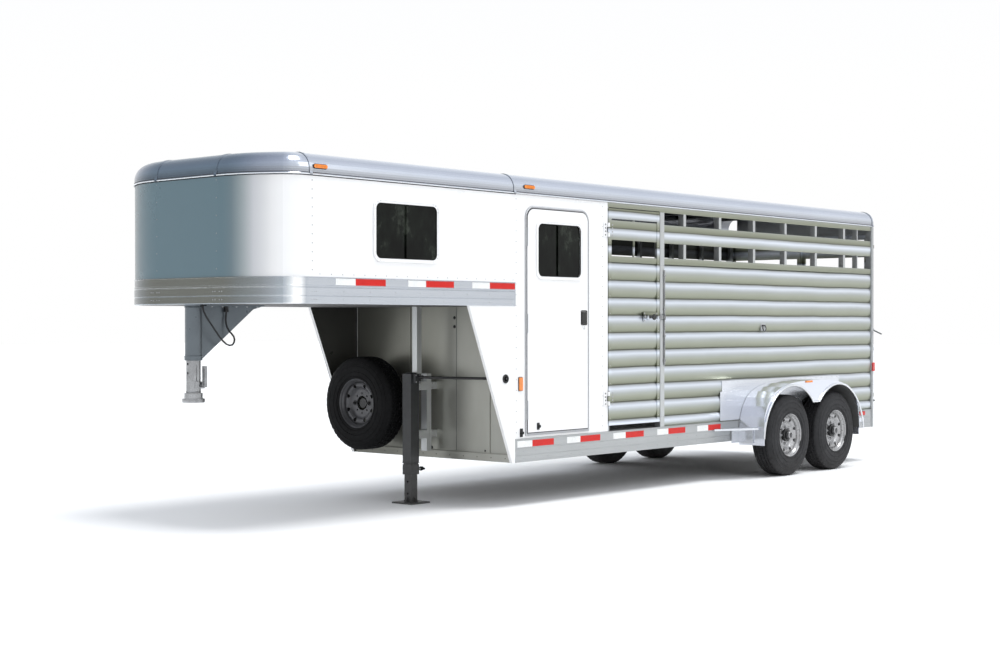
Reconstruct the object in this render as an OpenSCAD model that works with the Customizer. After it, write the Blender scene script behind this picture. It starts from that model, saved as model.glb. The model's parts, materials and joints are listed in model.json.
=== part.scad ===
// Gooseneck livestock trailer with a dressing room.
// +X points to the nose, +Y to the near side, +Z up. The origin is on the ground under the middle.

/* [Body] */
// Outside width of the body
body_w = 1830; // [1780:10:1900]
// Height of the underside of the side rails
rail_z = 359; // [340:1:380]
// Height of the top of the side rails and the floor
floor_z = 550; // [546:1:556]
// Height of the underside of the roof cap
wall_top = 2511; // [2505:1:2540]
// Radius of the roof cap extrusion
cap_r = 125; // [110:1:135]

/* [Slats] */
// Height of one wall slat
slat_pitch = 150; // [140:1:152]
// How far the slat face bulges
slat_crown = 11; // [4:0.5:14]
// Width of the posts that divide the air slots
post_w = 40; // [30:1:60]

/* [Running gear] */
// Tyre outer radius
tyre_r = 392; // [385:1:392]
// Tyre section width
tyre_w = 235; // [215:1:237]
// Distance between the two axles
axle_gap = 885; // [860:1:900]
// Radius of the wheel spindle
spindle_r = 30; // [25:0.5:34]
// Radial running clearance of the hubs
hub_fit = 0.06; // [0.02:0.01:0.1]

/* [Jack and coupler] */
// Outside size of the square jack housing
jack_w = 96; // [90:1:104]
// Side of the square foot plate
foot_w = 222; // [180:1:240]
// Outer radius of the coupler's outer tube
coupler_r = 60; // [57:0.5:64]
// Radius of the ball socket
ball_r = 29.6; // [29.5:0.1:30.5]

/* [Hidden] */
$fn = 48;
hw = body_w/2;
fx = 1774;            // front of the lower body
nsx = 3996;           // start of the nose corner
nfx = 4340;           // front of the nose
nfy = 350;            // half width of the flat front
// each nose corner is two arcs that meet smoothly at angle th
th = 40;
r1 = (sin(th)*(nfx-nsx)-(1-cos(th))*(hw-nfy))/(sin(th)*cos(th)-(1-cos(th))*(1-sin(th)));
r2 = (hw-nfy-r1*(1-sin(th)))/sin(th);
r1y = hw - r1;
rx = -4190;           // rear of the body
band_z = 1613; band_t = 1802;
ax1 = -2048; ax2 = ax1 - axle_gap;
hub_z = tyre_r;
ty0 = hw + 30;        // inner face of the tyres
ty1 = ty0 + tyre_w;
sill = 2058;          // top of the slat wall
s2t = 2191; s1b = 2356; s1t = 2465;
posts_l = [-256, -623, -1208, -1805, -2390, -2984, -3571];
jx = 2064; jy = 36;
cx = 4276;

module xext(x0, x1) translate([x0,0,0]) rotate([90,0,90]) linear_extrude(x1-x0) children();
module yext(y0, y1) translate([0,y1,0]) rotate([90,0,0]) linear_extrude(y1-y0) children();
module both() { children(); mirror([0,1,0]) children(); }
module bx(a, b) translate(a) cube([b[0]-a[0], b[1]-a[1], b[2]-a[2]]);
module rrect(x0, z0, x1, z1, r) {
  translate([x0+r,z0]) square([x1-x0-2*r, z1-z0]);
  translate([x0,z0+r]) square([x1-x0, z1-z0-2*r]);
  for (x=[x0+r,x1-r], z=[z0+r,z1-r]) translate([x,z]) circle(r);
}
// plan outline of the whole body, set in by i
module plan(i) {
  translate([rx,-(hw-i)]) square([nsx-rx, 2*(hw-i)]);
  translate([nsx-1,-nfy]) square([nfx-i-nsx+1, 2*nfy]);
  for (s=[0,1]) mirror([0,s]) {
    translate([nsx,r1y]) circle(r1-i, $fn=64);
    intersection() {
      translate([nfx-r2,nfy]) circle(r2-i, $fn=256);
      polygon([[nfx-r2,nfy-1],[nfx+400,nfy-1],[nfx+400,nfy+(r2+400)*tan(th)],[nfx-r2,nfy]]);
    }
  }
}
// sweeps a wall profile (u outwards, z) round the nose
module nose_sweep() {
  translate([nfx,nfy,0]) rotate([90,0,0]) linear_extrude(2*nfy) children();
  for (s=[0,1]) mirror([0,s,0]) {
    translate([nfx-r2,nfy,0]) rotate_extrude(angle=th, $fn=180) translate([r2,0]) children();
    translate([nsx,r1y,0]) rotate([0,0,th]) rotate_extrude(angle=90-th, $fn=96) translate([r1,0]) children();
  }
}
function arc(c, r, a0, a1, n) = [for (i=[0:n]) let (a=a0+(a1-a0)*i/n) [c[0]+r*cos(a), c[1]+r*sin(a)]];
cap_z = wall_top + 38;
cap_pts = concat([[-60,wall_top],[8,wall_top],[9,wall_top+9],[5,wall_top+15],[4,wall_top+20]],
  arc([4-cap_r,cap_z], cap_r, 0, 90, 12), [[-150,cap_z+cap_r],[-150,cap_z+cap_r-6]],
  arc([4-cap_r,cap_z], cap_r-6, 90, 0, 12), [[-2,wall_top+6],[-60,wall_top+6]]);
cap_joint = concat([[8.3,wall_top+2],[13,wall_top+2],[13,wall_top+14],[9,wall_top+22]],
  arc([4-cap_r,cap_z], cap_r+4, 0, 90, 12), [[-150,cap_z+cap_r+4],[-150,cap_z+cap_r]],
  arc([4-cap_r,cap_z], cap_r, 90, 0, 12), [[4,wall_top+20],[5,wall_top+15],[9,wall_top+9]]);
band_pts = [[-30,band_z],[2,band_z],[6,band_z+5],[6,band_z+52],[4,band_z+54],[4,band_z+57],[6,band_z+59],
  [6,band_z+112],[3,band_z+114],[3,band_z+118],[6,band_z+120],[6,band_z+129],[3,band_z+131],[3,band_z+183],
  [8,band_z+185],[8,band_t],[-6,band_t],[-6,band_z+8],[-30,band_z+8]];
rail_pts = [[hw-60,rail_z],[hw+4,rail_z],[hw+6,rail_z+3],[hw+6,rail_z+14],[hw+3,rail_z+17],[hw+3,rail_z+52],
  [hw+5,rail_z+54],[hw+5,rail_z+58],[hw+3,rail_z+60],[hw+3,rail_z+108],[hw+5,rail_z+110],[hw+5,rail_z+114],[hw+3,rail_z+116],
  [hw+3,floor_z-14],[hw+7,floor_z-12],[hw+7,floor_z-3],[hw+2,floor_z],[hw-60,floor_z]];
// one slat face from z0 to z1; the line between slats is a narrow groove
function slat(z0, z1, y) = concat([[y-slat_crown-3,z0],[y-slat_crown-3,z0+4]],
  [for (i=[0:10]) let (t=i/10) [y-slat_crown+slat_crown*pow(sin(180*t),0.8), z0+6+(z1-z0-8)*t]]);
function slat_face(y, lo, hi) = concat(slat(lo, 646, y),
  [for (k=[0:8]) each slat(646+slat_pitch*k, 646+slat_pitch*(k+1), y)], [[y-slat_crown-3,646+9*slat_pitch],[y-4,646+9*slat_pitch+5],[y,646+9*slat_pitch+20],[y,hi-6],[y-4,hi]]);

// ---------------------------------------------------------------- static body
module side_rails() color("silver") both() difference() {
  xext(-4140, fx) polygon(rail_pts);
  // clearance for the axle tubes and the wheels
  bx([ax2-440, hw-70, rail_z-5], [ax1+440, hw+20, 480]);
}
module crossmembers() color("gray") for (x=[-4080:400:1660]) if (abs(x-ax1-120)>90 && abs(x-ax2-120)>90)
  xext(x, x+42) difference() {
    translate([-(hw-60),470]) square([2*hw-120, 55]);
  }
module floor_planks() color("lightgray") for (i=[0:7]) let (w=(2*hw-120)/8, y0=-(hw-60)+i*w)
  xext(-4140, 1744) polygon([[y0+1,525],[y0+w-1,525],[y0+w-1,floor_z-3],[y0+w-12,floor_z-3],[y0+w-12,floor_z],[y0+w*0.66,floor_z],[y0+w*0.66-4,floor_z-3],[y0+w*0.36,floor_z-3],[y0+w*0.36-4,floor_z],[y0+12,floor_z],[y0+12,floor_z-3],[y0+1,floor_z-3]]);
module slat_wall(x0, x1) xext(x0, x1) polygon(concat([[hw-20,sill],[hw-20,floor_z]], slat_face(hw, floor_z, sill)));
module slats_left() color("silver") slat_wall(-4140, -292);
module slats_right() color("silver") mirror([0,1,0]) slat_wall(-4140, 544);
mid_pts = concat([[hw-20,s1b],[hw-20,s2t]], [[hw-8,s2t],[hw-3,s2t+6]], [for (i=[0:8]) [hw-3+3*sin(180*i/8), s2t+10+(s1b-s2t-20)*i/8]], [[hw-8,s1b]]);
module slot_slats() color("silver") {
  xext(-4140, -292) polygon(mid_pts);
  xext(-4140, -222) polygon([[hw-20,s1t],[hw-2,s1t],[hw,s1t+4],[hw,wall_top],[hw-20,wall_top]]);
  bx([-222,hw-20,2472],[544,hw,wall_top]);
  mirror([0,1,0]) { xext(-4140, 544) polygon(mid_pts);
    xext(-4140, 544) polygon([[hw-20,s1t],[hw-2,s1t],[hw,s1t+4],[hw,wall_top],[hw-20,wall_top]]); }
}
module post(x, w) {
  bx([x-w/2,hw-60,floor_z],[x+w/2,hw-20,wall_top]);
  for (z=[[sill,s2t],[s1b,s1t]]) bx([x-w/2,hw-21,z[0]],[x+w/2,hw-4,z[1]]);
}
module side_posts() color("gainsboro") {
  for (x=posts_l) if (x<-300) post(x, post_w);
  post(-3853, 16);
  // main post beside the side gate, and its hinge side post
  bx([-290,hw-60,floor_z],[-226,hw-20,wall_top]); bx([-290,hw-20,floor_z],[-226,hw+3,s1t]);
  bx([500,hw-60,floor_z],[544,hw-20,wall_top]);
  mirror([0,1,0]) { for (x=concat(posts_l,[130])) post(x, post_w); bx([504,hw-60,floor_z],[544,hw-20,wall_top]);}
}
module rear_frame() color("silver") {
  for (z=[802,1542,2282]) { translate([-4213,-(hw-4),z]) cylinder(h=36, r=12); bx([-4213,-(hw+4),z],[rx+1,-(hw-8),z+36]); }
  both() { bx([rx,hw-60,rail_z],[-4140,hw+4,wall_top]); bx([rx-2,hw+4,rail_z],[-4150,hw+8,wall_top-4]); }
  bx([rx,-(hw-60),rail_z],[-4140,hw-60,floor_z]);
  bx([rx,-(hw-60),2440],[-4150,hw-60,wall_top]);
  bx([rx,-(hw-140),wall_top],[-4150,hw-140,2660]);
}
module roof_rails() color("silver") both() {
  translate([0,hw,0]) xext(rx, nsx) polygon(cap_pts);
  translate([0,hw,0]) for (x=[rx, 1776-6]) xext(x, x+26) polygon(cap_joint);
}
module nose_cap() color("silver") {
  nose_sweep() polygon(cap_pts);
  // joint covers
  both() {
    translate([0,hw,0]) xext(nsx-30, nsx-4) polygon(cap_joint);
    translate([nfx,nfy,0]) rotate([90,0,0]) linear_extrude(26) polygon(cap_joint);
  }
}
module roof_skin() color("white") translate([0,0,2662]) linear_extrude(6) intersection() { plan(126); translate([rx+10,-2000]) square([9000,4000]); }
module roof_bows() color("silver") for (x=[-3800:600:3500]) xext(x, x+38)
  polygon([[-(hw-140),2622],[hw-140,2622],[hw-140,2662],[-(hw-140),2662]]);
module nose_skin() color("white") translate([0,0,band_t]) linear_extrude(wall_top-band_t) difference() {
  intersection() { plan(0); translate([nsx,-2000]) square([1000,4000]); }
  plan(4);
}
nwx0 = 2669; nwx1 = 3368; nwz0 = 1923; nwz1 = 2381;
dx0 = 818; dx1 = 1652; dz0 = 568; dz1 = 2424;
module arch_rect(x0, z0, x1, z1, r) { translate([x0,z0]) square([x1-x0,z1-z0-r]); translate([x0+r,z0]) square([x1-x0-2*r,z1-z0]);
  for (x=[x0+r,x1-r]) translate([x,z1-r]) circle(r); }
module skin_outline() polygon([[547,floor_z],[fx,floor_z],[fx,band_t],[nsx,band_t],[nsx,wall_top],[547,wall_top]]);
module side_skin_left() color("white") {
  yext(hw-30, hw) difference() {
    skin_outline();
    arch_rect(dx0+8, dz0+8, dx1-8, dz1-8, 92);
    rrect(nwx0+14, nwz0+14, nwx1-14, nwz1-14, 56);
  }
  // fixed leaves of the side gate's hinges
  for (z=[830,2276]) { bx([565,hw-1,z-62],[605,hw+6,z+62]);
    for (d=[-60,24]) { translate([552,hw+14,z+d]) cylinder(h=36, r=12); bx([552,hw+2,z+d],[566,hw+9,z+d+36]); } }
}
module side_skin_right() color("white") yext(-hw, -hw+30) difference() {
  skin_outline();
  rrect(nwx0+14, nwz0+14, nwx1-14, nwz1-14, 56);
}
module band_rails() color("silver") both() translate([0,hw,0]) xext(fx, nsx) polygon(band_pts);
module nose_band() color("silver") nose_sweep() polygon(band_pts);
module nose_floor() color("gray") translate([0,0,band_z]) linear_extrude(27) intersection() { plan(30.2); translate([1744,-2000]) square([3000,4000]); }
module bulkhead() color([0.45,0.46,0.42]) {
  bx([1744,-(hw-60),rail_z],[fx,hw-60,floor_z]);
  bx([1744,-(hw-30),floor_z],[fx,hw-30,band_z]);
  // bottom channel and vertical stiffeners
  bx([fx,-(hw-30),rail_z],[fx+26,hw-30,rail_z+62]);
  for (y=[-330,560]) bx([fx,y,rail_z+62],[fx+6,y+90,band_z]);
}
wing_pts = [[fx,rail_z],[1812,rail_z],[2324,band_z],[fx,band_z]];
module wing_panels() {
  color("white") yext(hw-26, hw) difference() { polygon(wing_pts); translate([1894,1034]) circle(20); }
  color("gray") yext(-hw, -hw+26) polygon(wing_pts);
}
module partition_wall() color("white") difference() {
  bx([504,-(hw-60),floor_z],[540,hw-60,2600]);
  // walk-through doorway
  bx([490,-300,floor_z-1],[560,330,2420]);
}
// teardrop fender: z of its top at a given x
fend_pts = [[-1515,319],[-1517,486],[-1540,590],[-1582,685],[-1650,765],[-1740,822],[-1860,863],[-2010,893],[-2180,908],[-2380,916],[-2600,915],[-2820,903],[-2980,884],[-3120,852],[-3230,800],[-3310,725],[-3365,620],[-3395,500],[-3402,400]];
fend_in = [[-1525,319],[-1527,486],[-1549,586],[-1590,678],[-1656,756],[-1744,812],[-1862,852],[-2011,882],[-2180,897],[-2380,905],[-2600,904],[-2820,892],[-2977,873],[-3114,842],[-3221,792],[-3299,719],[-3353,617],[-3383,499],[-3390,400]];
module arch_cut() {
  for (x=[ax1,ax2]) translate([x,347]) circle(x==ax1 ? 525 : 515, $fn=96);
  translate([ax2-150,0]) square([ax1-ax2+300,640]);
  translate([(ax1+ax2)/2-62,600]) square([124,100]);
  translate([ax2-452,0]) square([ax1-ax2+452+522,400]);
}
module fender() {
  // curved top
  yext(hw+7.2, hw+272) difference() { polygon(fend_pts); polygon(concat(fend_in, [[-3390,250],[-1525,250]])); }
  // outer face with the wheel cut-out, and its rolled lip
  yext(hw+272, hw+278) difference() { polygon(fend_pts); intersection() { polygon(fend_pts); arch_cut(); } }
  yext(hw+278, hw+286) difference() {
    intersection() { polygon(fend_pts); union() { for (x=[ax1,ax2]) translate([x,347]) circle(x==ax1 ? 541 : 531, $fn=96); translate([(ax1+ax2)/2-80,580]) square([160,134]); translate([ax1+500,319]) square([60,220]); } }
    arch_cut();
  }
  // inner flap behind the rear tyre
  bx([-3402,hw+40,330],[-3390,hw+262,400]);
}
module fender_left() color("silver") fender();
module fender_right() color("silver") mirror([0,1,0]) fender();
module steps() color("silver") both() {
  // splash plate on the wall over the wheels
  yext(hw, hw+4) polygon([[-1199,floor_z+8],[-1199,832],[-1228,832],[-1228,932],[-3440,932],[-3440,floor_z+8]]);
  // tapered step ahead of the fender
  translate([0,0,468]) linear_extrude(18) polygon([[-1075,hw+8],[-1075,hw+22],[-1500,hw+232],[-1512,hw+232],[-1512,hw+8]]);
  bx([-1512,hw+8,340],[-1380,hw+16,468]);
  bx([-1512,hw+16,340],[-1500,hw+170,468]);
}
module axle_beams() color("dimgray") {
  for (x=[ax1,ax2]) {
    translate([x+120,0,430]) rotate([90,0,0]) cylinder(h=2*hw-10, r=38, center=true);
    both() {
      bx([x+70,hw-330,466],[x+170,hw-260,524.9]);
      // trailing arm and spindle
      yext(hw-5, hw+24) { hull() { translate([x+120,430]) circle(44); translate([x,hub_z]) circle(40); } }
      translate([x,hw+24,hub_z]) rotate([-90,0,0]) cylinder(h=140, r=spindle_r);
      // backing plate
      translate([x,hw+24,hub_z]) rotate([-90,0,0]) cylinder(h=8, r=160);
    }
  }
}
// ---------------------------------------------------------------- wheels
tyre_pts = let (R=tyre_r, w=tyre_w) [
  [212,17.2],[221.6,15.2],[221.6,5],[250,2],[300,0],[340,3],[368,12],[382,24],[R-3,32],
  [R,40],[R,62],[R-9,63],[R-9,71],[R,72],[R,98],[R-9,99],[R-9,107],[R,108],
  [R,w-108],[R-9,w-107],[R-9,w-99],[R,w-98],[R,w-72],[R-9,w-71],[R-9,w-63],[R,w-62],[R,w-40],
  [R-3,w-32],[382,w-24],[368,w-12],[352,w-7],[350,w-4],[344,w-4],[342,w-6],[300,w-1],[262,w],[260,w-3],[250,w-3],[248,w-1],[221.6,w-5],[221.6,w-15.2],[212,w-18.2],[205.4,w-21],[205.4,21]];
module tyre() rotate([-90,0,0]) rotate_extrude($fn=96) polygon(tyre_pts);
rim_pts = let (w=tyre_w) [[216,6],[221,8],[221,14],[212,16],[205.2,20],[204,30],[196,44],[190,60],[186,150],[190,180],[202,w-30],[205.2,w-20],[211,w-17],[220,w-14],[221,w-8],[216,w-6],
  [210,w-8],[198,w-20],[196,w-28],[184,w-44],[180,w-60],[180,60],[190,44],[198,30],[206,12]];
disc_pts = let (w=tyre_w) [[181,w-70],[181,w-62],[170,w-52],[158,w-47],[146,w-49],[134,w-58],[122,w-72],[112,w-78],[60,w-78],[60,w-88],[114,w-88],[126,w-82],[138,w-68],[148,w-59],[158,w-57],[166,w-62],[172,w-70]];
// wheel rim, hub and nuts: axis along +Y, inner face at y = 0
module rim() {
  rotate([-90,0,0]) {
    rotate_extrude($fn=96) polygon(rim_pts);
    difference() { rotate_extrude($fn=96) polygon(disc_pts);
      for (k=[0:7]) rotate([0,0,k*45+22.5]) translate([151,0,tyre_w-95]) cylinder(h=60, r=17); }
    // hub and drum
    difference() {
      union() {
        translate([0,0,8]) cylinder(h=tyre_w-96, r=110);
        translate([0,0,tyre_w-88]) cylinder(h=44, r=60);
        translate([0,0,tyre_w-44]) cylinder(h=22, r=42);
      }
      translate([0,0,-1]) cylinder(h=tyre_w-75, r=spindle_r+hub_fit);
      translate([0,0,-1]) cylinder(h=50, r=95);
    }
    translate([0,0,tyre_w-22]) intersection() { sphere(38); cylinder(h=18, r1=38, r2=38); }
    for (k=[0:7]) rotate([0,0,k*45]) translate([82.55,0,tyre_w-78]) { cylinder(h=16, r=13, $fn=6); cylinder(h=24, r=7); }
  }
}
module at_wheel(x, s) { if (s>0) translate([x,ty0,hub_z]) children(); else mirror([0,1,0]) translate([x,ty0,hub_z]) children(); }
module tyre_fl() color([0.1,0.1,0.1]) at_wheel(ax1,1) tyre();
module tyre_rl() color([0.1,0.1,0.1]) at_wheel(ax2,1) tyre();
module tyre_fr() color([0.1,0.1,0.1]) at_wheel(ax1,-1) tyre();
module tyre_rr() color([0.1,0.1,0.1]) at_wheel(ax2,-1) tyre();
module rim_fl() color("silver") at_wheel(ax1,1) rim();
module rim_rl() color("silver") at_wheel(ax2,1) rim();
module rim_fr() color("silver") at_wheel(ax1,-1) rim();
module rim_rr() color("silver") at_wheel(ax2,-1) rim();
// spare, facing forward on the bulkhead
spy = -490; spz = 807; spx = fx+176;
module at_spare() translate([spx,spy,spz]) rotate([0,0,-90]) children();
module spare_tyre() color([0.08,0.08,0.08]) at_spare() tyre();
module spare_rim() color("gray") at_spare() rotate([-90,0,0]) {
  rotate_extrude($fn=96) polygon(rim_pts);
  difference() { rotate_extrude($fn=96) polygon(disc_pts);
    for (k=[0:7]) rotate([0,0,k*45+22.5]) translate([151,0,tyre_w-95]) cylinder(h=60, r=17);
    for (k=[0:7]) rotate([0,0,k*45]) translate([82.55,0,tyre_w-95]) cylinder(h=60, r=8); }
}
module spare_carrier() color("dimgray") {
  bx([fx+6,spy-170,spz-40],[fx+14,spy+170,spz+40]);
  translate([fx,spy,spz]) rotate([0,90,0]) cylinder(h=spx-fx+tyre_w-88, r=40);
  for (k=[0:1]) translate([fx+14,spy,spz]) rotate([k*180,0,0]) rotate([0,90,0]) translate([0,82.55,0]) cylinder(h=spx-fx+tyre_w-76, r=7.5);
  for (k=[0:1]) translate([spx+tyre_w-78,spy,spz]) rotate([k*180,0,0]) rotate([0,90,0]) translate([0,82.55,0]) cylinder(h=14, r=14, $fn=6);
}
// ---------------------------------------------------------------- jack
jo = jack_w/2;
module sqtube(o, i, z0, z1) difference() { bx([-o,-o,z0],[o,o,z1]); bx([-i,-i,z0-1],[i,i,z1+1]); }
module jack_mount() color("silver") {
  // rail on the bulkhead and its two clamps
  bx([1852,jy-32,rail_z+62],[1906,jy+32,1060]);
  for (z=[560,960]) { bx([fx,jy-24,z-30],[1852,jy+24,z+30]); bx([1906,jy-40,z-34],[jx-jo,jy+40,z+34]); }
  // tube from the jack up to the nose floor
  translate([1990,jy,0]) sqtube(27,23,1062,band_z);
}
module jack_housing() color([0.25,0.26,0.27]) translate([jx,jy,0]) {
  sqtube(jo, jo-5, 330, 1030);
  bx([-jo,-jo,1030],[jo,jo,1062]);
  // gearbox
  difference() { bx([-30,jo,985],[30,jo+34,1062]); crank_bore(); }
}
cra = 11.2;
module crank_bore() translate([0,0,1034]) rotate([0,0,cra]) rotate([-90,0,0]) cylinder(h=400, r=13.06);
module jack_inner_tube() color([0.3,0.31,0.32]) translate([jx,jy,0]) difference() {
  union() {
    sqtube(jo-5.6, jo-10, 320, 900);
    sqtube(jo, jo-10, 236, 320);
    translate([-jo-22,0,276]) rotate([0,90,0]) cylinder(h=24, r=20);
  }
  translate([-jo-30,0,276]) rotate([0,90,0]) cylinder(h=60, r=9.05);
}
module jack_drop_leg() color([0.45,0.46,0.46]) translate([jx,jy,0]) {
  difference() { sqtube(jo-10.6, jo-16, 12, 640);
    for (z=[80,178,276,374,472,570]) translate([-60,0,z]) rotate([0,90,0]) cylinder(h=120, r=10); }
  difference() { bx([-foot_w/2,-foot_w/2,0],[foot_w/2,foot_w/2,12]);
    for (x=[-88,88], y=[-88,88]) translate([x,y,-1]) cylinder(h=20, r=7); }
  for (a=[0,90,180,270]) rotate([0,0,a]) translate([jo-10.6,0,12]) rotate([90,0,0]) linear_extrude(8, center=true) polygon([[0,0],[44,0],[0,44]]);
}
module jack_plunger() color([0.2,0.2,0.2]) translate([jx,jy,276]) {
  translate([-jo-66,0,0]) rotate([0,90,0]) cylinder(h=76, r=9);
  translate([-jo-92,0,0]) rotate([0,90,0]) cylinder(h=28, r=16);
  translate([-jo-80,0,0]) rotate([90,0,0]) cylinder(h=56, r=6, center=true);
}
module jack_crank_shaft() color([0.15,0.15,0.16]) translate([jx,jy,1034]) rotate([0,0,cra]) rotate([-90,0,0]) {
  translate([0,0,60]) cylinder(h=36, r=13);
  translate([0,0,96]) cylinder(h=793, r=11);
  translate([0,0,889]) cylinder(h=16, r=10, $fn=6);
}
// ---------------------------------------------------------------- coupler
module coupler_tube() color([0.35,0.36,0.38]) {
  translate([cx,0,0]) difference() {
    union() { translate([0,0,1210]) cylinder(h=band_z-1210, r=coupler_r); translate([0,0,band_z-14]) cylinder(h=14, r=67);}
    translate([0,0,1209]) cylinder(h=band_z, r=coupler_r-8);
    translate([0,0,1340]) rotate([0,-90,0]) cylinder(h=100, r=8);
    translate([0,0,1260]) rotate([0,-90,0]) cylinder(h=100, r=8);
  }
  yext(-6, 6) polygon([[cx-coupler_r+1,1216],[cx-coupler_r+1,band_z],[cx-636,band_z],[cx-636,1600],[cx-556,1580],[cx-coupler_r-10,1216]]);
  bx([cx-636,-40,band_z-12],[cx-90,40,band_z]);
  // clamp screws
  for (z=[1340,1260]) translate([cx,0,z]) rotate([90,0,0]) { translate([0,0,coupler_r-2]) cylinder(h=24, r=11, $fn=6); }
}
module coupler_stem() color([0.75,0.75,0.77]) translate([cx,0,0]) rotate([0,0,-90]) difference() {
  union() { translate([0,0,952]) cylinder(h=460, r=coupler_r-8.1); translate([0,0,936]) cylinder(h=40, r=66); translate([0,0,908]) cylinder(h=28, r=80); 
    bx([-96,-26,1010],[-40,26,1060]); }
  translate([0,0,900]) cylinder(h=50, r=ball_r);
  translate([0,0,950]) sphere(ball_r);
  translate([0,0,1000]) cylinder(h=420, r=40);
  for (z=[1120,1185]) translate([0,-100,z]) rotate([-90,0,0]) cylinder(h=200, r=9);
  translate([-120,0,1035]) rotate([0,90,0]) cylinder(h=100, r=10.05);
}
module coupler_latch() color([0.6,0.6,0.62]) translate([cx,0,0]) rotate([0,0,-90]) {
  translate([-112,0,1035]) rotate([0,90,0]) cylinder(h=80, r=10);
  bx([-124,-10,1020],[-108,10,1172]);
  bx([-146,-8,1156],[-108,8,1172]); bx([-146,-8,1020],[-124,8,1036]); bx([-146,-8,1036],[-134,8,1156]);
}
// held cable: from the nose floor, down in a loop, to a socket behind the gusset
cord_route = [[4248,70,1613],[4248,71,1596],[4241,74,1562],[4220,77,1525],[4192,79,1488],[4162,80,1450],[4132,80,1415],[4102,80,1380],[4072,80,1350],
 [4040,80,1326],[4008,79,1316],[3980,77,1320],[3962,74,1336],[3954,70,1358],[3956,64,1380],[3968,55,1400],[3982,45,1420],[3992,34,1445],[3996,26,1475],[3996,22,1505],[3994,22,1535],[3992,24,1560]];
function unit(v) = v/norm(v);
function tang(i) = unit(cord_route[min(i+1,len(cord_route)-1)]-cord_route[max(i-1,0)]);
function nrm(i) = let (t=tang(i), a=cross(t,[0.2,1,0.1])) unit(a);
module trailer_cord() color([0.05,0.05,0.05]) {
  n = len(cord_route); m = 10; r = 6.5;
  pts = [for (i=[0:n-1]) let (a=nrm(i), b=cross(tang(i),a)) for (j=[0:m-1]) cord_route[i]+r*cos(360*j/m)*a+r*sin(360*j/m)*b];
  polyhedron(pts, concat([[for (j=[0:m-1]) j]], [[for (j=[m-1:-1:0]) (n-1)*m+j]],
    [for (i=[0:n-2]) for (j=[0:m-1]) [i*m+j, (i+1)*m+j, (i+1)*m+(j+1)%m, i*m+(j+1)%m]]), 4);
  // socket on the gusset
  translate([3992,24,1560]) { cylinder(h=40.9, r=15); }
}
// ---------------------------------------------------------------- dressing room door
module door_frame() color("gainsboro") {
  // fixed knuckles of the door hinge
  for (z=[700,1400,2100]) { translate([1635,hw+14.5,z]) cylinder(h=150, r=3.9); bx([1636,hw+9,z],[1646,hw+13,z+150]); }
  yext(hw, hw+9) difference() { arch_rect(dx0, dz0, dx1, dz1, 100); arch_rect(dx0+19, dz0+19, dx1-13, dz1-16, 84); }
  yext(hw-30, hw) difference() { arch_rect(dx0+8, dz0+8, dx1-8, dz1-8, 92); arch_rect(dx0+19, dz0+19, dx1-13, dz1-16, 84); }
}
dwx0 = 944; dwx1 = 1503; dwz0 = 1857; dwz1 = 2286;
module dress_door() color("white") {
  // knuckles of the door hinge
  for (z=[[852,1398],[1552,2098]]) { translate([1635,hw+14.5,z[0]]) cylinder(h=z[1]-z[0], r=3.9); bx([1624,hw+13,z[0]],[1634,hw+16,z[1]]); }
  difference() {
    yext(hw-28, hw+14) difference() { arch_rect(dx0+26, dz0+26, dx1-21, dz1-24, 78); rrect(dwx0, dwz0, dwx1, dwz1, 50); }
    bx([860,hw+2,1466],[934,hw+30,1578]);
    translate([850,hw+9,1564]) rotate([0,90,0]) cylinder(h=94, r=3.05);
  }
  // window trim
  yext(hw+14, hw+20) difference() { rrect(dwx0-26, dwz0-26, dwx1+26, dwz1+26, 66); rrect(dwx0, dwz0, dwx1, dwz1, 50); }
  yext(hw-34, hw-28) difference() { rrect(dwx0-26, dwz0-26, dwx1+26, dwz1+26, 66); rrect(dwx0, dwz0, dwx1, dwz1, 50); }
}
module dress_door_glass() color([0.1,0.1,0.12]) yext(hw+4, hw+9) intersection() { rrect(dwx0+0.5, dwz0+0.5, dwx1-0.5, dwz1-0.5, 49); translate([dwx0,dwz0]) square([290,500]); }
module dress_door_pane() color([0.1,0.1,0.12]) {
  yext(hw-8, hw-3) intersection() { rrect(dwx0+1, dwz0+1, dwx1-1, dwz1-1, 48); translate([1212,dwz0]) square([400,500]); }
  yext(hw-12, hw+3) translate([1202,dwz0+14]) square([18,dwz1-dwz0-28]);
}
module dress_latch() color([0.05,0.05,0.05]) {
  bx([864,hw+15,1472],[930,hw+21,1570]);
  translate([864,hw+9,1564]) rotate([0,90,0]) cylinder(h=66, r=5.5);
  translate([854,hw+9,1564]) rotate([0,90,0]) cylinder(h=86, r=3);
  bx([864,hw+9,1559],[930,hw+20,1569]);
  bx([864,hw+15,1468],[930,hw+25,1482]);
}
// ---------------------------------------------------------------- nose windows
module nose_windows() color("white") both() {
  yext(hw, hw+8) difference() { rrect(nwx0, nwz0, nwx1, nwz1, 68); rrect(nwx0+26, nwz0+26, nwx1-26, nwz1-26, 46); }
  yext(hw-30, hw) difference() { rrect(nwx0+14.1, nwz0+14.1, nwx1-14.1, nwz1-14.1, 55.9); rrect(nwx0+26, nwz0+26, nwx1-26, nwz1-26, 46); }
}
module nose_glass() color([0.1,0.1,0.12]) {
  yext(hw-4, hw+1) intersection() { rrect(nwx0+26.5, nwz0+26.5, nwx1-26.5, nwz1-26.5, 45.5); translate([nwx0,nwz0]) square([350,500]); }
  mirror([0,1,0]) yext(hw-4, hw+1) rrect(nwx0+26.5, nwz0+26.5, nwx1-26.5, nwz1-26.5, 45.5);
}
module nose_pane() color([0.1,0.1,0.12]) {
  yext(hw-16, hw-11) intersection() { rrect(nwx0+27, nwz0+27, nwx1-27, nwz1-27, 45); translate([3010,nwz0]) square([400,500]); }
  yext(hw-20, hw-5) translate([3002,nwz0+40]) square([20,nwz1-nwz0-80]);
}
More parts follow.
